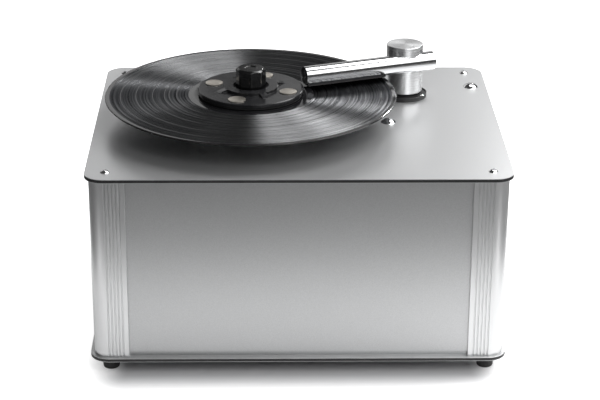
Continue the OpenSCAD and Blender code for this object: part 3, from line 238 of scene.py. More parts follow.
class GroupBuilder(TreeBuilder):
    """Builds one node group with named sockets."""

    def __init__(self, name: str, kind: str = "ShaderNodeTree") -> None:
        """Start an empty group.

        Args:
            name: the group's name.
            kind: its type of tree.
        """
        super().__init__(bpy.data.node_groups.new(name, kind))
        self.entry = self.tree.nodes.new("NodeGroupInput")
        self.exit = self.tree.nodes.new("NodeGroupOutput")

    def input(self, name: str, kind: str, default: object = None) -> Socket:
        """Add an input socket.

        Args:
            name: the socket's name.
            kind: Float, Int, Vector, Geometry or Material.
            default: its value where nothing is linked.

        Returns:
            The socket inside the group that gives the value.
        """
        made = self.tree.interface.new_socket(name=name, in_out="INPUT",
                                              socket_type=f"NodeSocket{kind}")
        if default is not None:
            made.default_value = default
        return self.entry.outputs[name]

    def output(self, name: str, kind: str, source: Socket) -> None:
        """Add an output socket of a kind, fed by source."""
        self.tree.interface.new_socket(name=name, in_out="OUTPUT", socket_type=f"NodeSocket{kind}")
        self.tree.links.new(source, self.exit.inputs[name])


def grain_group() -> Tree:
    """Build the fine grain, which can be stretched along an axis, and a slow mottle.

    Returns:
        The node group.
    """
    g = GroupBuilder("fine grain")
    where = g.input("Vector", "Vector")
    scale = g.input("Scale", "Float", 1000.0)
    stretched = g.vector("MULTIPLY", where, g.input("Stretch", "Vector", (1.0, 1.0, 1.0)))
    fine = g.add("ShaderNodeTexNoise", Vector=stretched, Scale=scale, Detail=3.0, Roughness=0.6)
    slow = g.add("ShaderNodeTexNoise", Vector=where, Scale=MOTTLE_PER_M, Detail=2.0, Roughness=0.5)
    g.output("Grain", "Float", fine.outputs["Fac"])
    g.output("Mottle", "Float", slow.outputs["Fac"])
    return g.tree


def turning_group() -> Tree:
    """Build the rings left by a lathe: noise over the distance from an upright axis and the height.

    Returns:
        The node group.
    """
    g = GroupBuilder("lathe turning")
    where = g.input("Vector", "Vector")
    axis = g.input("Axis", "Vector", (0.0, 0.0, 0.0))
    pitch = g.input("Rings per metre", "Float", 3000.0)
    parts = g.add("ShaderNodeSeparateXYZ", Vector=g.vector("SUBTRACT", where, axis)).outputs
    along = g.math("ADD", g.length(parts[0], parts[1]), parts[2])
    rings = g.add("ShaderNodeTexNoise", {"noise_dimensions": "1D"},
                  W=g.math("MULTIPLY", along, pitch), Scale=1.0, Detail=2.0)
    g.output("Ring", "Float", rings.outputs["Fac"])
    return g.tree


def handling_group() -> Tree:
    """Build light handling: smudges where fingers go and a scatter of dust specks.

    Returns:
        The node group.
    """
    g = GroupBuilder("handling")
    where = g.input("Vector", "Vector")
    size = g.input("Smudge scale", "Float", 25.0)
    smudge = g.add("ShaderNodeTexNoise", Vector=where, Scale=size, Detail=4.0, Roughness=0.65)
    cells = g.add("ShaderNodeTexVoronoi", Vector=where, Scale=SPECKS_PER_M)
    speck = g.math("LESS_THAN", cells.outputs["Distance"], SPECK_R)
    dust = g.add("ShaderNodeTexNoise", Vector=where, Scale=DUST_PER_M, Detail=1.0)
    some = g.math("GREATER_THAN", dust.outputs["Fac"], DUST_FROM)
    g.output("Smudge", "Float", smudge.outputs["Fac"])
    g.output("Specks", "Float", g.math("MULTIPLY", speck, some))
    return g.tree


GROUPS = {"grain": grain_group(), "turning": turning_group(), "handling": handling_group()}


class Shader(TreeBuilder):
    """One material while it is being made: its Principled shader, and what feeds it."""

    def __init__(self, name: str) -> None:
        """Start a material.

        Args:
            name: the material's name.
        """
        self.material = bpy.data.materials.new(name)
        self.material.use_nodes = True
        super().__init__(self.material.node_tree)
        self.surface = self.tree.nodes["Principled BSDF"]
        self.where = self.add("ShaderNodeTexCoord").outputs["Object"]

    def set(self, **values: object) -> None:
        """Set or link the Principled shader's sockets; see wire."""
        self.wire(self.surface, **values)

    def group(self, name: str, **inputs: object) -> bpy.types.Node:
        """Place a shared node group that reads the object's coordinates."""
        return self.add("ShaderNodeGroup", {"node_tree": GROUPS[name]}, Vector=self.where, **inputs)

    def rings(self, axis_mm: Flat, rings_per_m: float) -> Socket:
        """Noise that changes from ring to ring round an upright axis."""
        turning = self.group("turning", Axis=mm(*axis_mm, 0.0), Rings_per_metre=rings_per_m)
        return turning.outputs["Ring"]

    def spread(self, noise: Socket, low: float, high: float) -> Socket:
        """Noise mapped so that its usual span gives low to high."""
        return self.add("ShaderNodeMapRange", Value=noise, From_Min=NOISE_LOW, From_Max=NOISE_HIGH,
                        To_Min=low, To_Max=high).outputs[0]

    def around(self, noise: Socket, middle: float, reach: float) -> Socket:
        """Noise mapped so that its usual span reaches as far below a middle as above it."""
        return self.spread(noise, middle - reach, middle + reach)

    def dusty(self, roughness: object, specks: Socket, share: float) -> Socket:
        """Roughness raised by share where a mask is 1."""
        return self.math("ADD", roughness, self.math("MULTIPLY", specks, share), clamp=True)

    def tint(self, factor: Socket, dark: object, light: object) -> Socket:
        """Mix two colours, each given as numbers or as a socket.

        Args:
            factor: share of the light one.
            dark: the colour where the factor is 0.
            light: the colour where it is 1.

        Returns:
            The socket that gives the colour.
        """
        ends = [c if isinstance(c, Socket) else (*c, 1.0) for c in (dark, light)]
        mix = self.add("ShaderNodeMix", {"data_type": "RGBA"}, i0=factor, i6=ends[0], i7=ends[1])
        return mix.outputs[2]

    def mottled(self, noise: Socket, dark: Colour, light: Colour) -> Socket:
        """Colour that goes from dark to light over a noise's usual span."""
        return self.tint(self.spread(noise, 0.0, 1.0), dark, light)

    def varied(self, noise: Socket, colour: Colour, share: float) -> Socket:
        """Colour that a noise makes darker and lighter by a share."""
        return self.mottled(noise, scaled(colour, 1 - share), scaled(colour, 1 + share))

    def bump(self, height: Socket, depth_mm: float) -> Socket:
        """Normal roughened by a height of 0 to 1 that stands for depth_mm."""
        node = self.add("ShaderNodeBump", Height=height, Distance=depth_mm * MM, Strength=1.0)
        return node.outputs["Normal"]

    def stretch_across_rings(self, anisotropy: float) -> None:
        """Draw the highlights out across rings round an upright axis.

        Args:
            anisotropy: how far, from 0 to 1.
        """
        tangent = self.add("ShaderNodeTangent", {"direction_type": "RADIAL", "axis": "Z"})
        self.set(Anisotropic=anisotropy, Anisotropic_Rotation=QUARTER_TURN,
                 Tangent=tangent.outputs[0])


# Finishes


@dataclass(frozen=True)
class Finish:
    """What every finish has: a name, and a method that sets up its shader."""

    name: str

    def paint(self, s: Shader) -> None:
        """Set up a shader; each finish does it in its own way."""
        raise NotImplementedError

    def build(self) -> Material:
        """Make the material.

        Returns:
            The finished material.
        """
        shader = Shader(self.name)
        self.paint(shader)
        return shader.material


@dataclass(frozen=True)
class MetalFinish(Finish):
    """Satin, drawn or brushed metal."""

    colour: Colour
    roughness: float
    grain_per_m: float = 2500.0
    stretch: Colour = (1.0, 1.0, 1.0)
    colour_spread: float = 0.05
    roughness_spread: float = 0.06
    depth_mm: float = 0.01
    dust: float = 0.2

    def paint(self, s: Shader) -> None:
        """Set up the shader.

        Args:
            s: the material that is being made.
        """
        grain = s.group("grain", Scale=self.grain_per_m, Stretch=self.stretch).outputs["Grain"]
        rough = s.around(grain, self.roughness, self.roughness_spread)
        s.set(Base_Color=s.varied(grain, self.colour, self.colour_spread),
              Metallic=1.0, Normal=s.bump(grain, self.depth_mm),
              Roughness=s.dusty(rough, s.group("handling").outputs["Specks"], self.dust))


@dataclass(frozen=True)
class SandwichFinish(Finish):
    """Sheet with satin aluminium skins on a black core that shows at the edges."""

    low_mm: float
    high_mm: float
    skin_mm: float = 0.55
    colour: Colour = (0.60, 0.605, 0.61)
    core_colour: Colour = (0.012, 0.012, 0.013)
    colour_spread: float = 0.05
    roughness: float = 0.34
    roughness_spread: float = 0.04
    core_roughness: float = 0.15
    metallic: float = 0.72
    grain_per_m: float = 3800.0
    depth_mm: float = 0.008

    def paint(self, s: Shader) -> None:
        """Set up the shader; the core lies between the skins of a sheet from low_mm to high_mm.

        Args:
            s: the material that is being made.
        """
        grain = s.group("grain", Scale=self.grain_per_m).outputs["Grain"]
        height = s.add("ShaderNodeSeparateXYZ", Vector=s.where).outputs[2]
        above = s.math("GREATER_THAN", height, (self.low_mm + self.skin_mm) * MM)
        below = s.math("LESS_THAN", height, (self.high_mm - self.skin_mm) * MM)
        core = s.math("MULTIPLY", above, below)
        skin = s.varied(grain, self.colour, self.colour_spread)
        rough = s.around(grain, self.roughness, self.roughness_spread)
        metal = s.math("MULTIPLY", s.math("SUBTRACT", 1.0, core), self.metallic)
        s.set(Base_Color=s.tint(core, skin, self.core_colour), Metallic=metal,
              Roughness=s.dusty(rough, core, self.core_roughness),
              Normal=s.bump(grain, self.depth_mm))


@dataclass(frozen=True)
class TurnedFinish(Finish):
    """Lathe-turned aluminium round an upright axis."""

    axis_mm: Flat
    colour: Colour = (0.60, 0.605, 0.61)
    dark_share: float = 0.93
    roughness: float = 0.26
    roughness_spread: float = 0.05
    anisotropy: float = 0.6
    rings_per_m: float = 4000.0
    depth_mm: float = 0.004

    def paint(self, s: Shader) -> None:
        """Set up the shader.

        Args:
            s: the material that is being made.
        """
        ring = s.rings(self.axis_mm, self.rings_per_m)
        s.set(Base_Color=s.mottled(ring, scaled(self.colour, self.dark_share), self.colour),
              Metallic=1.0, Roughness=s.around(ring, self.roughness, self.roughness_spread),
              Normal=s.bump(ring, self.depth_mm))
        s.stretch_across_rings(self.anisotropy)


@dataclass(frozen=True)
class PolymerFinish(Finish):
    """Moulded plastic or rubber with a fine mould texture."""

    colour: Colour
    roughness: float
    roughness_spread: float = 0.05
    light_share: float = 1.25
    light_lift: float = 0.002
    grain_per_m: float = 2600.0
    depth_mm: float = 0.02
    dust: float = 0.35

    def paint(self, s: Shader) -> None:
        """Set up the shader.

        Args:
            s: the material that is being made.
        """
        grain = s.group("grain", Scale=self.grain_per_m).outputs
        handling = s.group("handling").outputs
        light = [min(1.0, c * self.light_share + self.light_lift) for c in self.colour]
        rough = s.around(handling["Smudge"], self.roughness, self.roughness_spread)
        s.set(Base_Color=s.mottled(grain["Mottle"], self.colour, light),
              Roughness=s.dusty(rough, handling["Specks"], self.dust),
              Normal=s.bump(grain["Grain"], self.depth_mm))


@dataclass(frozen=True)
class ChromeFinish(Finish):
    """Mirror chrome with the faintest polishing lines."""

    colour: Colour = (0.86, 0.865, 0.87)
    dark_share: float = 0.97
    roughness: float = 0.05
    smoother: float = 0.015
    rougher: float = 0.02
    smudges_per_m: float = 40.0

    def paint(self, s: Shader) -> None:
        """Set up the shader.

        Args:
            s: the material that is being made.
        """
        smudge = s.group("handling", Smudge_scale=self.smudges_per_m).outputs["Smudge"]
        s.set(Base_Color=s.mottled(smudge, scaled(self.colour, self.dark_share), self.colour),
              Roughness=s.spread(smudge, self.roughness - self.smoother,
                                 self.roughness + self.rougher),
              Metallic=1.0)


@dataclass(frozen=True)
class PlainVinylFinish(Finish):
    """Smooth bands of the record: run-out, track gaps and rim."""

    axis_mm: Flat
    dark: Colour = (0.006, 0.006, 0.007)
    light: Colour = (0.010, 0.010, 0.011)
    rings_per_m: float = 2600.0
    roughness: float = 0.10
    specular: float = 0.6
    dust: float = 0.15

    def paint(self, s: Shader) -> None:
        """Set up the shader.

        Args:
            s: the material that is being made.
        """
        ring = s.rings(self.axis_mm, self.rings_per_m)
        specks = s.group("handling").outputs["Specks"]
        s.set(Base_Color=s.mottled(ring, self.dark, self.light), Specular_IOR_Level=self.specular,
              Roughness=s.dusty(self.roughness, specks, self.dust))


@dataclass(frozen=True)
class GroovedVinylFinish(Finish):
    """Grooved bands of the record, whose leaning walls throw long highlights."""

    axis_mm: Flat
    dark: Colour = (0.10, 0.102, 0.106)
    light: Colour = (0.40, 0.403, 0.41)
    edge_tint: Colour = (0.12, 0.12, 0.125)
    fine_per_m: float = 2600.0
    loud_per_m: float = 420.0
    fine_share: float = 0.6
    roughness: float = 0.30
    smoother: float = 0.08
    rougher: float = 0.10
    anisotropy: float = 1.0
    steepness: float = 1.9
    dust: float = 0.15

    def walls(self, s: Shader, ring: Socket) -> Socket:
        """Lean the normal out from the spindle or back to it, as a groove's walls do.

        Args:
            s: the material's shader.
            ring: value round 0.5 that changes from groove to groove.

        Returns:
            The leaning normal.
        """
        outward = s.vector("MULTIPLY", s.vector("SUBTRACT", s.where, mm(*self.axis_mm, 0.0)),
                           (1.0, 1.0, 0.0))
        ways = {"vector_type": "VECTOR", "convert_from": "OBJECT", "convert_to": "WORLD"}
        turned = s.add("ShaderNodeVectorTransform", ways, i0=s.vector("NORMALIZE", outward))
        lean = s.math("MULTIPLY", s.math("SUBTRACT", ring, 0.5), 2.0 * self.steepness)
        level = s.add("ShaderNodeNewGeometry").outputs["Normal"]
        leaning = s.vector("ADD", level, s.vector("SCALE", turned.outputs[0], lean))
        return s.vector("NORMALIZE", leaning)

    def paint(self, s: Shader) -> None:
        """Set up the shader.

        Args:
            s: the material that is being made.
        """
        fine, loud = (s.rings(self.axis_mm, pitch) for pitch in (self.fine_per_m, self.loud_per_m))
        music = s.math("ADD", s.math("MULTIPLY", fine, self.fine_share),
                       s.math("MULTIPLY", loud, 1.0 - self.fine_share))
        rough = s.spread(music, self.roughness - self.smoother, self.roughness + self.rougher)
        s.set(Base_Color=s.mottled(music, self.dark, self.light), Metallic=1.0,
              Roughness=s.dusty(rough, s.group("handling").outputs["Specks"], self.dust),
              Specular_Tint=(*self.edge_tint, 1.0), Normal=self.walls(s, music))
        s.stretch_across_rings(self.anisotropy)


@dataclass(frozen=True)
class VelvetFinish(Finish):
    """Short black pile."""

    colour: Colour = (0.012, 0.012, 0.013)
    light_share: float = 2.2
    grain_per_m: float = 5200.0
    depth_mm: float = 0.12
    roughness: float = 0.9
    sheen: float = 0.4
    sheen_roughness: float = 0.4

    def paint(self, s: Shader) -> None:
        """Set up the shader.

        Args:
            s: the material that is being made.
        """
        grain = s.group("grain", Scale=self.grain_per_m).outputs["Grain"]
        s.set(Base_Color=s.mottled(grain, self.colour, scaled(self.colour, self.light_share)),
              Roughness=self.roughness, Sheen_Weight=self.sheen,
              Sheen_Roughness=self.sheen_roughness, Normal=s.bump(grain, self.depth_mm))


@dataclass(frozen=True)
class ClearFinish(Finish):
    """Clear acrylic."""

    colour: Colour = (0.86, 0.93, 0.95)
    transmission: float = 0.85
    ior: float = 1.49
    roughness: tuple[float, float] = (0.04, 0.10)
    smudges_per_m: float = 60.0

    def paint(self, s: Shader) -> None:
        """Set up the shader.

        Args:
            s: the material that is being made.
        """
        smudge = s.group("handling", Smudge_scale=self.smudges_per_m).outputs["Smudge"]
        s.set(Base_Color=(*self.colour, 1.0), Metallic=0.0, IOR=self.ior,
              Transmission_Weight=self.transmission, Roughness=s.spread(smudge, *self.roughness))


# Mesh code


def plain_mesh(name: str, bm: bmesh.types.BMesh) -> bpy.types.Mesh:
    """Turn a bmesh into a mesh.

    Args:
        name: the mesh's name.
        bm: the bmesh, which is freed.

    Returns:
        The mesh.
    """
    mesh = bpy.data.meshes.new(name)
    bm.to_mesh(mesh)
    bm.free()
    return mesh


def shade(mesh: bpy.types.Mesh, smooth_deg: float) -> None:
    """Shade a mesh smooth but for its edges that are sharper than an angle."""
    mesh.shade_smooth()
    mesh.set_sharp_from_angle(angle=math.radians(smooth_deg))


def show(name: str, data: bpy.types.ID) -> Thing:
    """Show a mesh, light or camera.

    Args:
        name: the object's name.
        data: what it shows.

    Returns:
        The new object, at the origin.
    """
    made = bpy.data.objects.new(name, data)
    bpy.context.scene.collection.objects.link(made)
    return made


def make_object(name: str, bm: bmesh.types.BMesh, materials: Iterable[Material],
                smooth_deg: float = 35.0) -> Thing:
    """Turn a bmesh in metres into a shown object at the origin.

    Args:
        name: the piece's name.
        bm: its mesh, which is freed.
        materials: its material slots in order.
        smooth_deg: edges sharper than this stay crisp.

    Returns:
        The new object.
    """
    mesh = plain_mesh(name, bm)
    for material in materials:
        mesh.materials.append(material)
    shade(mesh, smooth_deg)
    return show(name, mesh)


def round_edges(piece: Thing, width_mm: float, segments: int, sharp_deg: float,
                miter: str = "MITER_SHARP") -> None:
    """Give a piece a modifier that rounds its sharp edges.

    Args:
        piece: the piece.
        width_mm: width of the rounding.
        segments: steps across it.
        sharp_deg: edges sharper than this are rounded.
        miter: how roundings meet at an outer corner.
    """
    bevel = piece.modifiers.new("round", "BEVEL")
    bevel.width = width_mm * MM
    bevel.segments = segments
    bevel.limit_method = "ANGLE"
    bevel.angle_limit = math.radians(sharp_deg)
    bevel.miter_outer = miter


def apply_modifiers(piece: Thing) -> None:
    """Put a piece's evaluated mesh in place of its own and remove its modifiers.

    Args:
        piece: the piece.
    """
    graph = bpy.context.evaluated_depsgraph_get()
    mesh = bpy.data.meshes.new_from_object(piece.evaluated_get(graph))
    piece.modifiers.clear()
    piece.data = mesh


def welded(node: str) -> bmesh.types.BMesh:
    """Copy a CAD node's mesh with the vertices that lie on each other merged.

    Args:
        node: the CAD node.

    Returns:
        The copy.
    """
    bm = bmesh.new()
    bm.from_mesh(NODES[node].data)
    bmesh.ops.remove_doubles(bm, verts=bm.verts, dist=WELD_M)
    return bm


def rounded_copy(node: str, material: Material, width_mm: float, segments: int) -> Thing:
    """Copy a CAD node, merge its mesh and round its sharp edges.

    Args:
        node: the CAD node, which the copy replaces.
        material: the copy's finish.
        width_mm: width of the rounding.
        segments: steps across it.

    Returns:
        The copy, riding on the node's body.
    """
    source = NODES[node]
    bm = welded(node)
    bmesh.ops.dissolve_limit(bm, angle_limit=math.radians(FLAT_DEG), verts=bm.verts, edges=bm.edges)
    made = make_object(f"{node}_finish", bm, [material], SMOOTH_DEG)
    round_edges(made, width_mm, segments, SHARP_DEG, "MITER_ARC")
    normals = made.modifiers.new("flat faces", "WEIGHTED_NORMAL")
    normals.mode = "FACE_AREA"
    normals.keep_sharp = False
    apply_modifiers(made)
    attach(made, source["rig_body"])
    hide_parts(node)
    return made


def islands(mesh: bpy.types.Mesh) -> list[list[bpy.types.MeshPolygon]]:
    """Sort the polygons of a mesh by the connected part that they belong to.

    Args:
        mesh: the mesh.

    Returns:
        The polygons of each part.
    """
    root = list(range(len(mesh.vertices)))

    def find(i: int) -> int:
        """Find a vertex's part.

        Args:
            i: the vertex.

        Returns:
            First vertex of the part that holds it.
        """
        while root[i] != i:
            root[i] = root[root[i]]
            i = root[i]
        return i

    for edge in mesh.edges:
        root[find(edge.vertices[0])] = find(edge.vertices[1])
    parts: dict[int, list[bpy.types.MeshPolygon]] = {}
    for polygon in mesh.polygons:
        parts.setdefault(find(polygon.vertices[0]), []).append(polygon)
    return list(parts.values())


def parts_mm(node: str) -> list[tuple[Vector, Vector]]:
    """Measure the connected parts of a CAD node.

    Args:
        node: the CAD node.

    Returns:
        Lowest and highest corner of each part, in millimetres.
    """
    mesh = plain_mesh("parts", welded(node))
    boxes = []
    for island in islands(mesh):
        points = [mesh.vertices[i].co / MM for polygon in island for i in polygon.vertices]
        low, high = ([pick(p[k] for p in points) for k in range(3)] for pick in (min, max))
        boxes.append((Vector(low), Vector(high)))
    bpy.data.meshes.remove(mesh)
    return boxes


def grow(name: str, bm: bmesh.types.BMesh, tree: Tree, values: dict[str, object],
         rounding_mm: float = 0.0) -> Thing:
    """Run a Geometry Nodes tree on a mesh and keep its result as a plain mesh.

    Args:
        name: the piece's name.
        bm: the mesh that the tree starts from, in metres; it is freed.
        tree: the node tree.
        values: values for the tree's named inputs.
        rounding_mm: width of the rounding on the result's sharp edges; 0 leaves them sharp.

    Returns:
        The finished object at the origin.
    """
    made = show(name, plain_mesh(name, bm))
    nodes = made.modifiers.new("repeat", "NODES")
    nodes.node_group = tree
    for item in tree.interface.items_tree:
        if item.item_type == "SOCKET" and item.in_out == "INPUT" and item.name in values:
            nodes[item.identifier] = values[item.name]
    if rounding_mm:
        round_edges(made, rounding_mm, EDGE_STEPS, REPEAT_SHARP_DEG)
    apply_modifiers(made)
    shade(made.data, REPEAT_SHARP_DEG)
    return made


def ring(bm: bmesh.types.BMesh, centre: Vector,
         points: Iterable[tuple[float, float, float]]) -> list[bmesh.types.BMVert]:
    """Add a ring of vertices.

    Args:
        bm: the mesh that gets them.
        centre: a point on the ring's upright axis, in millimetres.
        points: turn, radius and height above the centre of each vertex.

    Returns:
        The vertices in order.
    """
    return [bm.verts.new(mm(centre.x + radius * math.cos(turn), centre.y + radius * math.sin(turn),
                            centre.z + height)) for turn, radius, height in points]


def join(bm: bmesh.types.BMesh, low: Sequence[bmesh.types.BMVert],
         high: Sequence[bmesh.types.BMVert], slot: int = 0) -> None:
    """Join two rings of equal length by faces.

    Args:
        bm: the mesh that gets them.
        low: the first ring.
        high: the second ring.
        slot: the faces' material slot.
    """
    for i in range(len(low)):
        j = (i + 1) % len(low)
        bm.faces.new((low[i], low[j], high[j], high[i])).material_index = slot


# Geometry Nodes trees for what repeats


class ShapeBuilder(GroupBuilder):
    """Builds one Geometry Nodes tree that puts a shape on points."""

    def __init__(self, name: str) -> None:
        """Start an empty tree called name."""
        super().__init__(name, "GeometryNodeTree")

    def raised(self, shape: Socket, height: object) -> Socket:
        """Geometry moved up by a height."""
        offset = self.add("ShaderNodeCombineXYZ", Z=height).outputs[0]
        return self.add("GeometryNodeTransform", Geometry=shape, Translation=offset).outputs[0]

    def cylinder(self, radius: object, low: object, high: object, sides: int) -> Socket:
        """Make an upright cylinder or prism between two heights.

        Args:
            radius: its radius.
            low: height of its foot.
            high: height of its top.
            sides: its number of sides.

        Returns:
            Its mesh.
        """
        shape = self.add("GeometryNodeMeshCylinder", Vertices=sides, Radius=radius,
                         Depth=self.math("SUBTRACT", high, low))
        middle = self.math("MULTIPLY", self.math("ADD", high, low), 0.5)
        return self.raised(shape.outputs["Mesh"], middle)

    def boolean(self, operation: str, one: Socket, other: Socket) -> Socket:
        """Combine two solids.

        Args:
            operation: UNION, INTERSECT or DIFFERENCE.
            one: a solid, from which DIFFERENCE takes the other.
            other: a second solid.

        Returns:
            The resulting mesh.
        """
        node = self.add("GeometryNodeMeshBoolean", {"operation": operation, "solver": "EXACT"})
        self.tree.links.new(one, node.inputs[0 if operation == "DIFFERENCE" else 1])
        self.tree.links.new(other, node.inputs[1])
        return node.outputs["Mesh"]

    def random(self, kind: str, **inputs: object) -> bpy.types.Node:
        """Random value of a kind; see wire for its inputs."""
        return self.add("FunctionNodeRandomValue", {"data_type": kind}, **inputs)

    def end(self, points: Socket, shape: Socket, turn: Socket, material: Socket) -> None:
        """Put a shape on each point as real geometry in one material, and end the tree.

        Args:
            points: the points.
            shape: what stands on each of them.
            turn: its rotation.
            material: its material.
        """
        placed = self.add("GeometryNodeInstanceOnPoints", Points=points, Instance=shape,
                          Rotation=turn)
        real = self.add("GeometryNodeRealizeInstances", Geometry=placed.outputs["Instances"])
        painted = self.add("GeometryNodeSetMaterial", Geometry=real.outputs["Geometry"],
                           Material=material)
        self.output("Geometry", "Geometry", painted.outputs["Geometry"])


def fastener_tree() -> Tree:
    """Put a crowned round head with hexagon socket and shank on each point.

    A negative socket depth leaves the socket out.

    Returns:
        The node tree.
    """
    g = ShapeBuilder("fasteners")
    points = g.input("Geometry", "Geometry")
    radius = g.input("Head radius", "Float", 0.004)
    height = g.input("Head height", "Float", 0.003)
    crown = g.input("Crown", "Float", 0.002)
    socket_r = g.input("Socket radius", "Float", 0.002)
    socket_h = g.input("Socket depth", "Float", -0.001)
    shank_r = g.input("Shank radius", "Float", 0.002)
    shank_l = g.input("Shank length", "Float", 0.010)
    seed = g.input("Turn seed", "Int", 7)
    material = g.input("Material", "Material")
    squares = g.math("ADD", g.math("MULTIPLY", radius, radius), g.math("MULTIPLY", crown, crown))
    ball_r = g.math("DIVIDE", g.math("MULTIPLY", squares, 0.5), crown)
    ball = g.add("GeometryNodeMeshUVSphere", Segments=HEAD_SIDES, Rings=HEAD_SIDES, Radius=ball_r)
    ball = g.raised(ball.outputs["Mesh"], g.math("SUBTRACT", height, ball_r))
    head = g.boolean("INTERSECT", ball, g.cylinder(radius, 0.0, height, HEAD_SIDES))
    shank = g.cylinder(shank_r, g.math("MULTIPLY", shank_l, -1.0),
                       g.math("MULTIPLY", height, SHANK_IN_HEAD), SHANK_SIDES)
    solid = g.boolean("UNION", head, shank)
    socket = g.cylinder(socket_r, g.math("SUBTRACT", height, socket_h),
                        g.math("MULTIPLY", height, SOCKET_OUT), HEXAGON)
    turn = g.random("FLOAT", i2=0.0, i3=2 * math.pi / HEXAGON, i8=seed)
    spin = g.add("ShaderNodeCombineXYZ", Z=turn.outputs[1]).outputs[0]
    g.end(points, g.boolean("DIFFERENCE", solid, socket), spin, material)
    return g.tree


def pile_tree() -> Tree:
    """Put short leaning fibres all over a surface.

    Returns:
        The node tree.
    """
    g = ShapeBuilder("pile")
    surface = g.input("Geometry", "Geometry")
    density = g.input("Fibres per square metre", "Float", 1e6)
    length = g.input("Length", "Float", 0.0004)
    radius = g.input("Radius", "Float", 0.0001)
    lean = g.input("Lean", "Float", 0.5)
    seed = g.input("Seed", "Int", 11)
    material = g.input("Material", "Material")
    spots = g.add("GeometryNodeDistributePointsOnFaces", Mesh=surface, Density=density, Seed=seed)
    cone = g.add("GeometryNodeMeshCone", {"fill_type": "NONE"}, Vertices=3, Radius_Top=0.0,
                 Radius_Bottom=radius, Depth=length)
    tilt = g.random("FLOAT_VECTOR", i0=(-1.0, -1.0, -3.0), i1=(1.0, 1.0, 3.0), i8=seed)
    turn = g.add("FunctionNodeRotateRotation", {"rotation_space": "LOCAL"},
                 Rotation=spots.outputs["Rotation"],
                 Rotate_By=g.vector("SCALE", tilt.outputs[0], lean))
    g.end(spots.outputs["Points"], cone.outputs["Mesh"], turn.outputs[0], material)
    return g.tree


@dataclass
class Finishes:
    """All materials and Geometry Nodes trees of the machine, made once."""

    axis_mm: Flat
    post_mm: Flat
    plates_mm: dict[str, Flat]
    made: dict[str, Material] = field(default_factory=dict)
    trees: dict[str, Tree] = field(default_factory=dict)

    def build(self) -> None:
        """Make every material and tree."""
        finishes = [
            SandwichFinish("deck sheet", *self.plates_mm["top_plate"]),
            SandwichFinish("bottom sheet", *self.plates_mm["bottom_plate"]),
            MetalFinish("wall sheet", (0.50, 0.505, 0.51), 0.36, grain_per_m=1500.0,
                        colour_spread=0.10, depth_mm=0.03, roughness_spread=0.05),
            MetalFinish("drawn profile", (0.66, 0.665, 0.67), 0.30, grain_per_m=2600.0,
                        stretch=(1.0, 1.0, 0.03), colour_spread=0.02, roughness_spread=0.02,
                        depth_mm=0.0015),
            MetalFinish("polished steel", (0.78, 0.78, 0.79), 0.12, roughness_spread=0.04),
            MetalFinish("zinc steel", (0.55, 0.56, 0.57), 0.38),
            MetalFinish("spring steel", (0.50, 0.51, 0.52), 0.30),
            MetalFinish("bush bronze", (0.60, 0.46, 0.25), 0.35),
            MetalFinish("cast zinc", (0.42, 0.43, 0.44), 0.5, grain_per_m=700.0, depth_mm=0.05),
            MetalFinish("contact brass", (0.75, 0.70, 0.55), 0.25),
            MetalFinish("nickel", (0.62, 0.58, 0.52), 0.36, grain_per_m=900.0,
                        stretch=(0.15, 2.0, 1.0), colour_spread=0.12),
            TurnedFinish("turned post", self.post_mm, (0.91, 0.915, 0.92)),
            TurnedFinish("turned cap", self.post_mm, (0.90, 0.905, 0.91), roughness=0.30),
            TurnedFinish("turned platter", self.axis_mm),
            PolymerFinish("foot rubber", (0.018, 0.018, 0.018), 0.62, depth_mm=0.04),
            PolymerFinish("black polymer", (0.020, 0.020, 0.021), 0.42),
            PolymerFinish("hose rubber", (0.03, 0.03, 0.032), 0.5),
            PolymerFinish("tank polymer", (0.72, 0.75, 0.76), 0.35, depth_mm=0.01),
            PolymerFinish("circuit board", (0.02, 0.11, 0.05), 0.35),
            PolymerFinish("board component", (0.03, 0.03, 0.035), 0.35),
            PolymerFinish("rocker polymer", (0.010, 0.010, 0.011), 0.22, depth_mm=0.005),
            PolymerFinish("label paper", (0.05, 0.05, 0.055), 0.5),
            PolymerFinish("clamp polymer", (0.010, 0.010, 0.011), 0.22, depth_mm=0.005),
            PolymerFinish("clamp edge rubber", (0.010, 0.010, 0.010), 0.5, depth_mm=0.01),
            PolymerFinish("knob polymer", (0.003, 0.003, 0.0032), 0.16, depth_mm=0.002),
            GroovedVinylFinish("grooved vinyl", self.axis_mm),
            PlainVinylFinish("plain vinyl", self.axis_mm),
            ChromeFinish("chrome"),
            ChromeFinish("polished tube", (0.78, 0.785, 0.79), roughness=0.13),
            VelvetFinish("velvet"),
            ClearFinish("clear window"),
        ]
        self.made = {finish.name: finish.build() for finish in finishes}
        self.trees = {"fasteners": fastener_tree(), "pile": pile_tree()}
        LOG.info("finishes: %d", len(self.made))

    def __getitem__(self, name: str) -> Material:
        """The material called name."""
        return self.made[name]


# The machine


@dataclass(frozen=True)
class FastenerSizes:
    """Sizes that a row of fasteners shares, in millimetres."""

    head_h: float
    crown: float
    shank_r: float
    socket_r: float = 2.0
    socket_h: float = -1.0
    rounding: float = 0.12


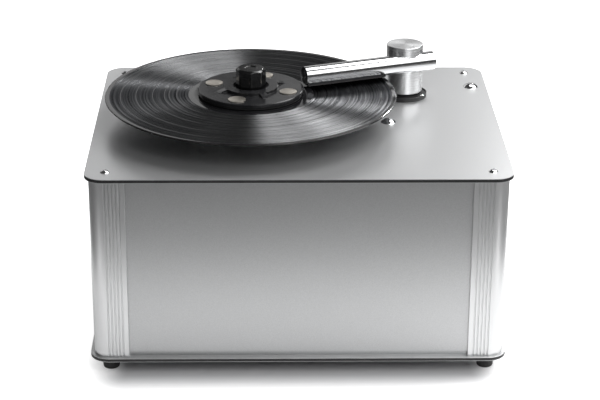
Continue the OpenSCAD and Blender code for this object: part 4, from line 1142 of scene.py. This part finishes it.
@dataclass
class SubAssembly:
    """What the machine's sub-assemblies share: finishes and short calls to place pieces."""

    finishes: Finishes

    def dress(self, material: str, *nodes: str) -> None:
        """Give CAD nodes that stay as they are their material.

        Args:
            material: the material's name.
            *nodes: the CAD nodes.
        """
        for node in nodes:
            mesh = NODES[node].data
            mesh.materials.clear()
            mesh.materials.append(self.finishes[material])
            LOG.info("%s: %s", node, material)

    def place(self, piece: Thing, body: str, slot: Slot, *nodes: str) -> None:
        """Let a new piece ride on a body and stand for CAD nodes.

        Args:
            piece: the piece.
            body: the body that it rides on.
            slot: the record's slot for it; not used.
            *nodes: the CAD nodes that it replaces.
        """
        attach(piece, body)
        if nodes:
            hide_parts(*nodes)
        LOG.info("%s on %s", piece.name, body)

    def fasteners(self, node: str, material: str, slot: Slot, sizes: FastenerSizes) -> None:
        """Put one head and shank in place of each part of a CAD node.

        Args:
            node: the CAD node, whose parts give the places and the shanks' ends.
            material: their finish.
            slot: the record's slot for it; not used.
            sizes: the sizes that they share.
        """
        parts = parts_mm(node)
        bm = bmesh.new()
        for low, high in parts:
            bm.verts.new(mm((low.x + high.x) / 2, (low.y + high.y) / 2, high.z - sizes.head_h))
        low, high = parts[0]
        lengths = {"Head radius": (high.x - low.x) / 2, "Head height": sizes.head_h,
                   "Crown": sizes.crown, "Socket radius": sizes.socket_r,
                   "Socket depth": sizes.socket_h, "Shank radius": sizes.shank_r,
                   "Shank length": high.z - sizes.head_h - low.z}
        values = {name: length * MM for name, length in lengths.items()}
        values["Material"] = self.finishes[material]
        piece = grow(f"{node}_row", bm, self.finishes.trees["fasteners"], values, sizes.rounding)
        self.place(piece, NODES[node]["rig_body"], slot, node)

    def rounded(self, node: str, material: str, slot: Slot, edge: Edge = Edge.USUAL,
                segments: int = EDGE_STEPS) -> Thing:
        """Show a rounded copy of a CAD node in a finish.

        Args:
            node: the CAD node.
            material: the finish's name.
            slot: the record's slot for it; not used.
            edge: width of the rounding.
            segments: steps across it.

        Returns:
            The copy.
        """
        piece = rounded_copy(node, self.finishes[material], edge.value, segments)
        LOG.info("%s rounded by %.2f mm", node, edge.value)
        return piece


@dataclass
class Case(SubAssembly):
    """Plates, walls, corner profiles, feet and fasteners."""

    deck_screws: FastenerSizes = FastenerSizes(head_h=2.75, crown=2.45, shank_r=2.4, socket_h=1.9)
    domes: FastenerSizes = FastenerSizes(head_h=4.3, crown=3.9, shank_r=3.9)

    def build(self) -> None:
        """Make and dress the case."""
        self.rounded("top_plate", "deck sheet", Slot.DECK)
        self.rounded("bottom_plate", "bottom sheet", Slot.DECK)
        for side in ("front", "rear", "left", "right"):
            self.rounded(f"{side}_panel", "wall sheet", Slot.WALL, Edge.FINE)
        for end in ("front", "rear"):
            for side in ("left", "right"):
                self.rounded(f"profile_{end}_{side}", "drawn profile", Slot.PROFILE, Edge.THIN)
        self.rounded("rubber_feet", "foot rubber", Slot.RUBBER, Edge.SOFT)
        self.fasteners("deck_screws", "polished steel", Slot.STEEL, self.deck_screws)
        self.fasteners("dome_bolts", "chrome", Slot.STEEL, self.domes)
        self.dress("zinc steel", "foot_screws")


@dataclass
class Inside(SubAssembly):
    """What the case holds; it shows only through slots and the level window."""

    def build(self) -> None:
        """Dress the inner nodes."""
        self.dress("zinc steel", "motor_plate", "plate_screws", "drive_motor", "lid_screws",
                   "fan_motor")
        self.dress("cast zinc", "gear_head")
        self.dress("spring steel", "lift_spring")
        self.dress("tank polymer", "waste_tank")
        self.dress("black polymer", "tank_lid", "fan_housing", "fan_cover")
        self.dress("foot rubber", "lid_seal", "motor_cradle")
        self.dress("hose rubber", "suction_hose", "exhaust_duct")
        self.dress("turned platter", "tank_pillars", "impeller")
        self.dress("circuit board", "control_board")
        self.dress("board component", "board_parts")


@dataclass
class Fittings(SubAssembly):
    """Switches, inlet, drain and level window."""

    def build(self) -> None:
        """Make and dress the fittings."""
        self.rounded("switch_bezels", "black polymer", Slot.POLYMER)
        self.rounded("power_inlet", "black polymer", Slot.POLYMER)
        self.rounded("fuse_drawer", "black polymer", Slot.POLYMER, Edge.THIN)
        self.rounded("drain_port", "black polymer", Slot.POLYMER)
        self.rounded("drain_plug", "black polymer", Slot.POLYMER, Edge.SOFT)
        for rocker in ("mains_rocker", "suction_rocker", "direction_rocker"):
            self.rounded(rocker, "rocker polymer", Slot.ROCKER)
        self.dress("contact brass", "inlet_pins")
        self.dress("clear window", "level_window")


@dataclass
class Turntable(SubAssembly):
    """Drive shaft, platter, mat, record and label; sizes in millimetres."""

    steps: int = 360
    hole_r: float = 3.62
    label_r: float = 50.0
    label_sink: float = 0.15
    rise_r: float = 58.0
    rise_steps: int = 6
    runout_r: float = 64.5
    sink: float = 0.2
    gap_w: float = 0.8
    gap_slope: float = 0.15
    gap_rise: float = 0.05
    gap_hem: float = 0.1   # grooves reach this far into a gap on each side
    gaps_r: tuple[float, ...] = (76.5, 84.4, 89.3, 101.3, 118.4, 134.2)
    # Distance from the outer edge and depth under the crest of the rim's points
    rim: tuple[Flat, ...] = ((4.6, 0.2), (3.6, 0.05), (2.6, 0.0), (1.0, 0.02), (0.4, 0.2),
                             (0.1, 0.55))

    def top_outline(self, outer: float, thick: float) -> list[Flat]:
        """Draw the record's upper face from the hole to the rim, with its track gaps.

        Args:
            outer: the record's radius.
            thick: its thickness.

        Returns:
            Radius and height of each point.
        """
        floor = thick - self.sink
        top = [(self.hole_r, thick - self.label_sink), (self.label_r, thick - self.label_sink),
               (self.label_r, thick)]
        for i in range(self.rise_steps + 1):
            share = i / self.rise_steps
            ease = 0.5 - 0.5 * math.cos(math.pi * share)
            radius = self.rise_r + (self.runout_r - self.rise_r) * share
            top.append((radius, thick - self.sink * ease))
        half = self.gap_w / 2
        for gap in self.gaps_r:
            top += [(gap - half, floor), (gap - half + self.gap_slope, floor + self.gap_rise),
                    (gap + half - self.gap_slope, floor + self.gap_rise), (gap + half, floor)]
        return top + [(outer - inward, thick - depth) for inward, depth in self.rim]

    def is_plain(self, radius: float, outer: float) -> bool:
        """Tell whether a band of the record has no grooves.

        Args:
            radius: the band's radius.
            outer: the record's radius.

        Returns:
            True for run-out, track gaps and rim.
        """
        rim_r, gap_half = outer - self.rim[0][0], self.gap_w / 2 - self.gap_hem
        return (not self.runout_r <= radius <= rim_r
                or any(abs(radius - gap) < gap_half for gap in self.gaps_r))

    def record(self) -> None:
        """Turn the record with its rim, track gaps and run-out on both faces."""
        low, high = box_mm("record")
        centre = (low + high) / 2
        centre.z = low.z
        outer, thick = (high.x - low.x) / 2, high.z - low.z
        top = self.top_outline(outer, thick)
        under = [(self.hole_r, 0.0)] + [(r, thick - z) for r, z in top if r > self.label_r]
        outline = [*under, (outer, thick / 2), *reversed(top)]
        turns = [2 * math.pi * i / self.steps for i in range(self.steps)]
        bm = bmesh.new()
        rings = [ring(bm, centre, ((turn, r, z) for turn in turns)) for r, z in outline]
        for n, (radius, _) in enumerate(outline):
            m = (n + 1) % len(outline)
            plain = self.is_plain((radius + outline[m][0]) / 2, outer)
            join(bm, rings[n], rings[m], int(plain))
        bmesh.ops.recalc_face_normals(bm, faces=bm.faces)
        materials = [self.finishes["grooved vinyl"], self.finishes["plain vinyl"]]
        disc = make_object("record_disc", bm, materials, smooth_deg=12.0)
        self.place(disc, "turntable", Slot.VINYL, "record")

    def build(self) -> None:
        """Make and dress the turntable."""
        self.record()
        self.rounded("platter", "turned platter", Slot.TURNED)
        self.dress("polished steel", "drive_shaft")
        self.dress("foot rubber", "platter_mat")
        self.dress("label paper", "record_label")
        self.dress("bush bronze", "shaft_bush")


@dataclass
class RecordClamp(SubAssembly):
    """Clamp disc with ring and ramps, rubber edge, magnets and knob; sizes in millimetres."""

    magnets: FastenerSizes = FastenerSizes(head_h=2.0, crown=0.06, shank_r=8.6, rounding=0.4)
    knob_sides: int = 8
    steps_a_side: int = 16
    first_corner_deg: float = -92.0
    corner_cut: float = 0.35
    land_r: float = 12.9
    chamfer_slope: float = 0.75
    recess_r: float = 6.4
    recess_slope: float = 0.5
    recess_depth: float = 0.8
    knob_edge: float = 0.35
    knob_edge_steps: int = 3
    knob_sharp_deg: float = 14.0

    def knob_radius(self, turn: float, corner_r: float) -> float:
        """Distance from the knob's axis to its side.

        Args:
            turn: angle from a corner.
            corner_r: radius of the corners before they are cut.

        Returns:
            The distance.
        """
        side = 2 * math.pi / self.knob_sides
        from_flat = (turn % side) - side / 2
        return min(corner_r * math.cos(side / 2) / math.cos(from_flat), corner_r - self.corner_cut)

    def knob(self) -> None:
        """Loft the knob, whose turned chamfer meets its flats in scallops."""
        low, high = box_mm("clamp_knob")
        centre, height = (low + high) / 2, high.z - low.z
        centre.z = low.z
        steps = self.knob_sides * self.steps_a_side
        turns = [2 * math.pi * i / steps for i in range(steps)]
        sides = [self.knob_radius(turn, (high.x - low.x) / 2) for turn in turns]
        rows = [[(r, 0.0) for r in sides],
                [(r, height - (r - self.land_r) * self.chamfer_slope) for r in sides],
                [(self.land_r, height)] * steps,
                [(self.recess_r, height)] * steps,
                [(self.recess_r - self.recess_slope, height - self.recess_depth)] * steps]
        first = math.radians(self.first_corner_deg)
        bm = bmesh.new()
        rings = [ring(bm, centre, [(first + turn, r, z) for turn, (r, z) in zip(turns, row)])
                 for row in rows]
        for lower, upper in zip(rings, rings[1:]):
            join(bm, lower, upper)
        bm.faces.new(rings[-1])
        bm.faces.new(rings[0][::-1])
        bmesh.ops.recalc_face_normals(bm, faces=bm.faces)
        knob = make_object("knob_scalloped", bm, [self.finishes["knob polymer"]])
        round_edges(knob, self.knob_edge, self.knob_edge_steps, self.knob_sharp_deg)
        apply_modifiers(knob)
        self.place(knob, "record_clamp", Slot.KNOB, "clamp_knob")

    def build(self) -> None:
        """Make and dress the clamp."""
        self.rounded("clamp_body", "clamp polymer", Slot.CLAMP, Edge.CLAMP, segments=3)
        self.rounded("clamp_edge", "clamp edge rubber", Slot.RUBBER, Edge.SOFT)
        self.fasteners("clamp_magnets", "nickel", Slot.NICKEL, self.magnets)
        self.knob()


@dataclass
class SuctionArm(SubAssembly):
    """Guide flange, lift stem, post, cap, tube, plugs and velvet; sizes in millimetres."""

    guide_screws: FastenerSizes = FastenerSizes(head_h=1.0, crown=0.3, shank_r=0.9, socket_r=0.8,
                                                socket_h=0.5, rounding=0.08)
    plug_zone: float = 20.0
    screw_zone: float = 3.0
    bald_below: float = -0.7
    fibres_per_mm2: float = 4.0
    fibre_length: float = 0.45
    fibre_r: float = 0.07

    def trim(self) -> None:
        """Give velvet strips, tube plugs and the cap's screw their own finishes."""
        piece = self.rounded("arm_trim", "velvet", Slot.VELVET, Edge.FINE)
        piece.data.materials.append(self.finishes["black polymer"])
        piece.data.materials.append(self.finishes["polished steel"])
        screw_z = box_mm("arm_cap")[0].z - self.screw_zone
        low, high = box_mm("arm_tube")
        for island in islands(piece.data):
            corners = [piece.data.vertices[i].co for polygon in island for i in polygon.vertices]
            centre = sum(corners, Vector()) / len(corners) / MM
            strip = low.x + self.plug_zone < centre.x < high.x - self.plug_zone
            part = Trim.SCREW if centre.z > screw_z else Trim.STRIP if strip else Trim.PLUG
            for polygon in island:
                polygon.material_index = part.value
        self.pile(piece.data)

    def pile(self, trim: bpy.types.Mesh) -> None:
        """Grow fibres on the velvet strips, but not under them, where they rest near the record.

        Args:
            trim: mesh of the strips, plugs and screw.
        """
        bm = bmesh.new()
        bm.from_mesh(trim)
        bald = [f for f in bm.faces
                if f.material_index != Trim.STRIP.value or f.normal.z < self.bald_below]
        bmesh.ops.delete(bm, geom=bald, context="FACES")
        values = {"Fibres per square metre": self.fibres_per_mm2 / MM ** 2,
                  "Length": self.fibre_length * MM, "Radius": self.fibre_r * MM,
                  "Material": self.finishes["velvet"]}
        fibres = grow("velvet_fibres", bm, self.finishes.trees["pile"], values)
        self.place(fibres, "arm", Slot.VELVET)

    def build(self) -> None:
        """Make and dress the arm."""
        self.rounded("arm_guide", "black polymer", Slot.POLYMER)
        self.fasteners("arm_guide_screws", "polished steel", Slot.STEEL, self.guide_screws)
        self.rounded("lift_stem", "black polymer", Slot.POLYMER, Edge.THIN)
        self.rounded("arm_post", "turned post", Slot.TURNED, Edge.FINE)
        self.rounded("arm_cap", "turned cap", Slot.TURNED, Edge.FINE)
        self.rounded("arm_tube", "polished tube", Slot.CHROME, Edge.TUBE, segments=4)
        self.trim()


# The studio


@dataclass(frozen=True)
class Softbox:
    """Rectangular area light that the lens doesn't see.

    Lengths are in metres. The width stays level. A radiance of 1 is the white surround's.
    """

    name: str
    place: tuple[float, float, float]
    size: Flat
    radiance: float
    aim: tuple[float, float, float] = (0.0, 0.0, 0.2)

    def build(self) -> None:
        """Hang the light."""
        data = bpy.data.lights.new(self.name, "AREA")
        data.shape = "RECTANGLE"
        data.size, data.size_y = self.size
        data.energy = math.pi * self.size[0] * self.size[1] * self.radiance
        light = show(self.name, data)
        light.location = self.place
        ahead = Vector(self.aim) - Vector(self.place)
        light.rotation_euler = ahead.to_track_quat("-Z", "Y").to_euler()
        light.visible_camera = False


@dataclass
class Studio:
    """Pale floor, soft lights and the camera at the photograph's angle; lengths in metres."""

    lens_mm: float = 114.12
    sensor_mm: float = 36.0
    place_mm: tuple[float, float, float] = (-32.0, -1855.0, 884.0)
    pitch_deg: float = 22.43
    yaw_deg: float = -1.10
    roll_deg: float = 0.292
    sight: float = 50.0
    floor_half: float = 6.0
    floor_drop: float = 0.0003
    # colour of the painted shadow on the floor next to the machine
    floor_painted_shadow: Colour = (0.55, 0.55, 0.56)
    floor_open: Colour = (0.93, 0.93, 0.93)
    floor_lift: float = 0.6
    floor_glow: float = 0.3
    shade_reach: float = 0.042
    shade_inset: float = 0.036
    shade_power: float = 1.4
    ring_inner: Flat = (0.45, 0.42)
    ring_outer: float = 4.0
    ring_shade: float = 0.22
    ambient: float = 0.06
    lights: tuple[Softbox, ...] = (
        Softbox("overhead softbox", (0.725, 0.45, 1.75), (1.35, 0.8), 4.3, (0.725, 0.25, 0.2)),
        Softbox("overhead right softbox", (1.1, 0.65, 1.6), (0.7, 0.8), 5.2),
        Softbox("right softbox", (1.5, 0.0, 1.5), (1.2, 1.2), 4.2),
        Softbox("front softbox", (0.60, -1.5, 1.5), (0.9, 1.3), 3.5),
        Softbox("front right softbox", (1.1, -1.1, 1.5), (1.2, 1.3), 2.0),
        Softbox("front left fill", (-1.2, -1.5, 1.1), (1.2, 1.2), 0.45),
        Softbox("back softbox", (0.5, 2.1, 1.15), (1.1, 0.9), 0.54, (0.3, 0.0, 0.2)),
        Softbox("backdrop glow", (-1.0, 2.0, 1.1), (1.8, 1.0), 0.75),
        Softbox("strip light", (0.69, 1.66, 1.07), (0.02, 0.30), 260.0, (-0.05, 0.0, 0.24)),
    )

    def floor(self) -> None:
        """Lay the pale floor, which is lifted for the lens and carries a painted shadow near the
        machine.
        """
        bm = bmesh.new()
        bmesh.ops.create_grid(bm, x_segments=1, y_segments=1, size=self.floor_half)
        s = Shader("pale floor")
        lens = s.add("ShaderNodeLightPath").outputs["Is Camera Ray"]
        place = s.add("ShaderNodeSeparateXYZ", Vector=s.where).outputs
        low, high = CAD_BOX
        gaps = []
        # painted shadow: the floor's colour and glow fall off within shade_reach of the machine's
        # footprint
        for k, inset in enumerate((self.shade_inset, 0.0)):
            past = s.math("SUBTRACT", s.math("ABSOLUTE", place[k]), (high[k] - low[k]) / 2 - inset)
            gaps.append(s.math("MAXIMUM", past, 0.0))
        share = s.math("DIVIDE", s.length(*gaps), self.shade_reach, clamp=True)
        open_floor = s.math("POWER", share, self.shade_power)
        glow = s.math("ADD", s.math("MULTIPLY", lens, self.floor_lift), self.floor_glow)
        s.set(Base_Color=s.tint(open_floor, self.floor_painted_shadow, self.floor_open), Roughness=0.9,
              Specular_IOR_Level=0.1, Emission_Color=WHITE,
              Emission_Strength=s.math("MULTIPLY", open_floor, glow))
        floor = make_object("floor", bm, [s.material])
        floor.location.z = -self.floor_drop

    def camera(self) -> None:
        """Place the camera fitted to the photograph."""
        data = bpy.data.cameras.new("view")
        data.lens = self.lens_mm
        data.sensor_width = self.sensor_mm
        data.clip_end = self.sight
        camera = show("view", data)
        pitch, yaw, roll = (math.radians(a) for a in (self.pitch_deg, self.yaw_deg, self.roll_deg))
        turn = Matrix.Rotation(yaw, 3, "Z")
        right = turn @ Vector((1, 0, 0))
        ahead = turn @ Vector((0, math.cos(pitch), -math.sin(pitch)))
        up = turn @ Vector((0, math.sin(pitch), math.cos(pitch)))
        side = math.cos(roll) * right + math.sin(roll) * up
        top = math.cos(roll) * up - math.sin(roll) * right
        axes = Matrix((side, top, -ahead)).transposed().to_4x4()
        camera.matrix_world = Matrix.Translation(mm(*self.place_mm)) @ axes
        bpy.context.scene.camera = camera

    def world(self) -> None:
        """Surround the scene in white for the lens, in grey for light and reflections."""
        world = bpy.data.worlds.new("surround")
        bpy.context.scene.world = world
        world.use_nodes = True
        t = TreeBuilder(world.node_tree)
        t.tree.nodes.clear()
        seen, light = (t.add("ShaderNodeBackground", Color=WHITE, Strength=strength).outputs[0]
                       for strength in (1.0, self.ambient))
        lens = t.add("ShaderNodeLightPath").outputs["Is Camera Ray"]
        mix = t.add("ShaderNodeMixShader", i0=lens, i1=light, i2=seen)
        t.add("ShaderNodeOutputWorld", Surface=mix.outputs[0])

    def floor_ring(self) -> None:
        """Lay the grey sheet round the machine, which the walls mirror and the lens doesn't see."""
        bm = bmesh.new()
        (x, y), outer = self.ring_inner, self.ring_outer
        for x0, x1, y0, y1 in ((-outer, outer, -outer, -y), (-outer, outer, y, outer),
                               (-outer, -x, -y, y), (x, outer, -y, y)):
            corners = ((x0, y0), (x1, y0), (x1, y1), (x0, y1))
            bm.faces.new([bm.verts.new((*corner, 0.0)) for corner in corners])
        s = Shader("grey sheet")
        s.set(Base_Color=(*[self.ring_shade] * 3, 1.0), Roughness=0.95, Specular_IOR_Level=0.0)
        sheet = make_object("floor_ring", bm, [s.material])
        sheet.visible_camera = False
        sheet.visible_shadow = False

    def build(self) -> None:
        """Set up the studio."""
        self.floor()
        self.camera()
        self.world()
        self.floor_ring()
        for light in self.lights:
            light.build()
        settings = bpy.context.scene.view_settings
        settings.view_transform = "Standard"
        settings.look = "None"


def main() -> None:
    """Build the machine's looks in order."""
    logging.basicConfig(level=logging.INFO, format="%(message)s")
    Studio().build()
    axis, post = centre_mm("record"), centre_mm("arm_post")
    plates = {n: (box_mm(n)[0].z, box_mm(n)[1].z) for n in ("top_plate", "bottom_plate")}
    finishes = Finishes((axis.x, axis.y), (post.x, post.y), plates)
    finishes.build()
    for part in (Case, Inside, Fittings, Turntable, RecordClamp, SuctionArm):
        part(finishes).build()


if __name__ == "__main__":
    main()
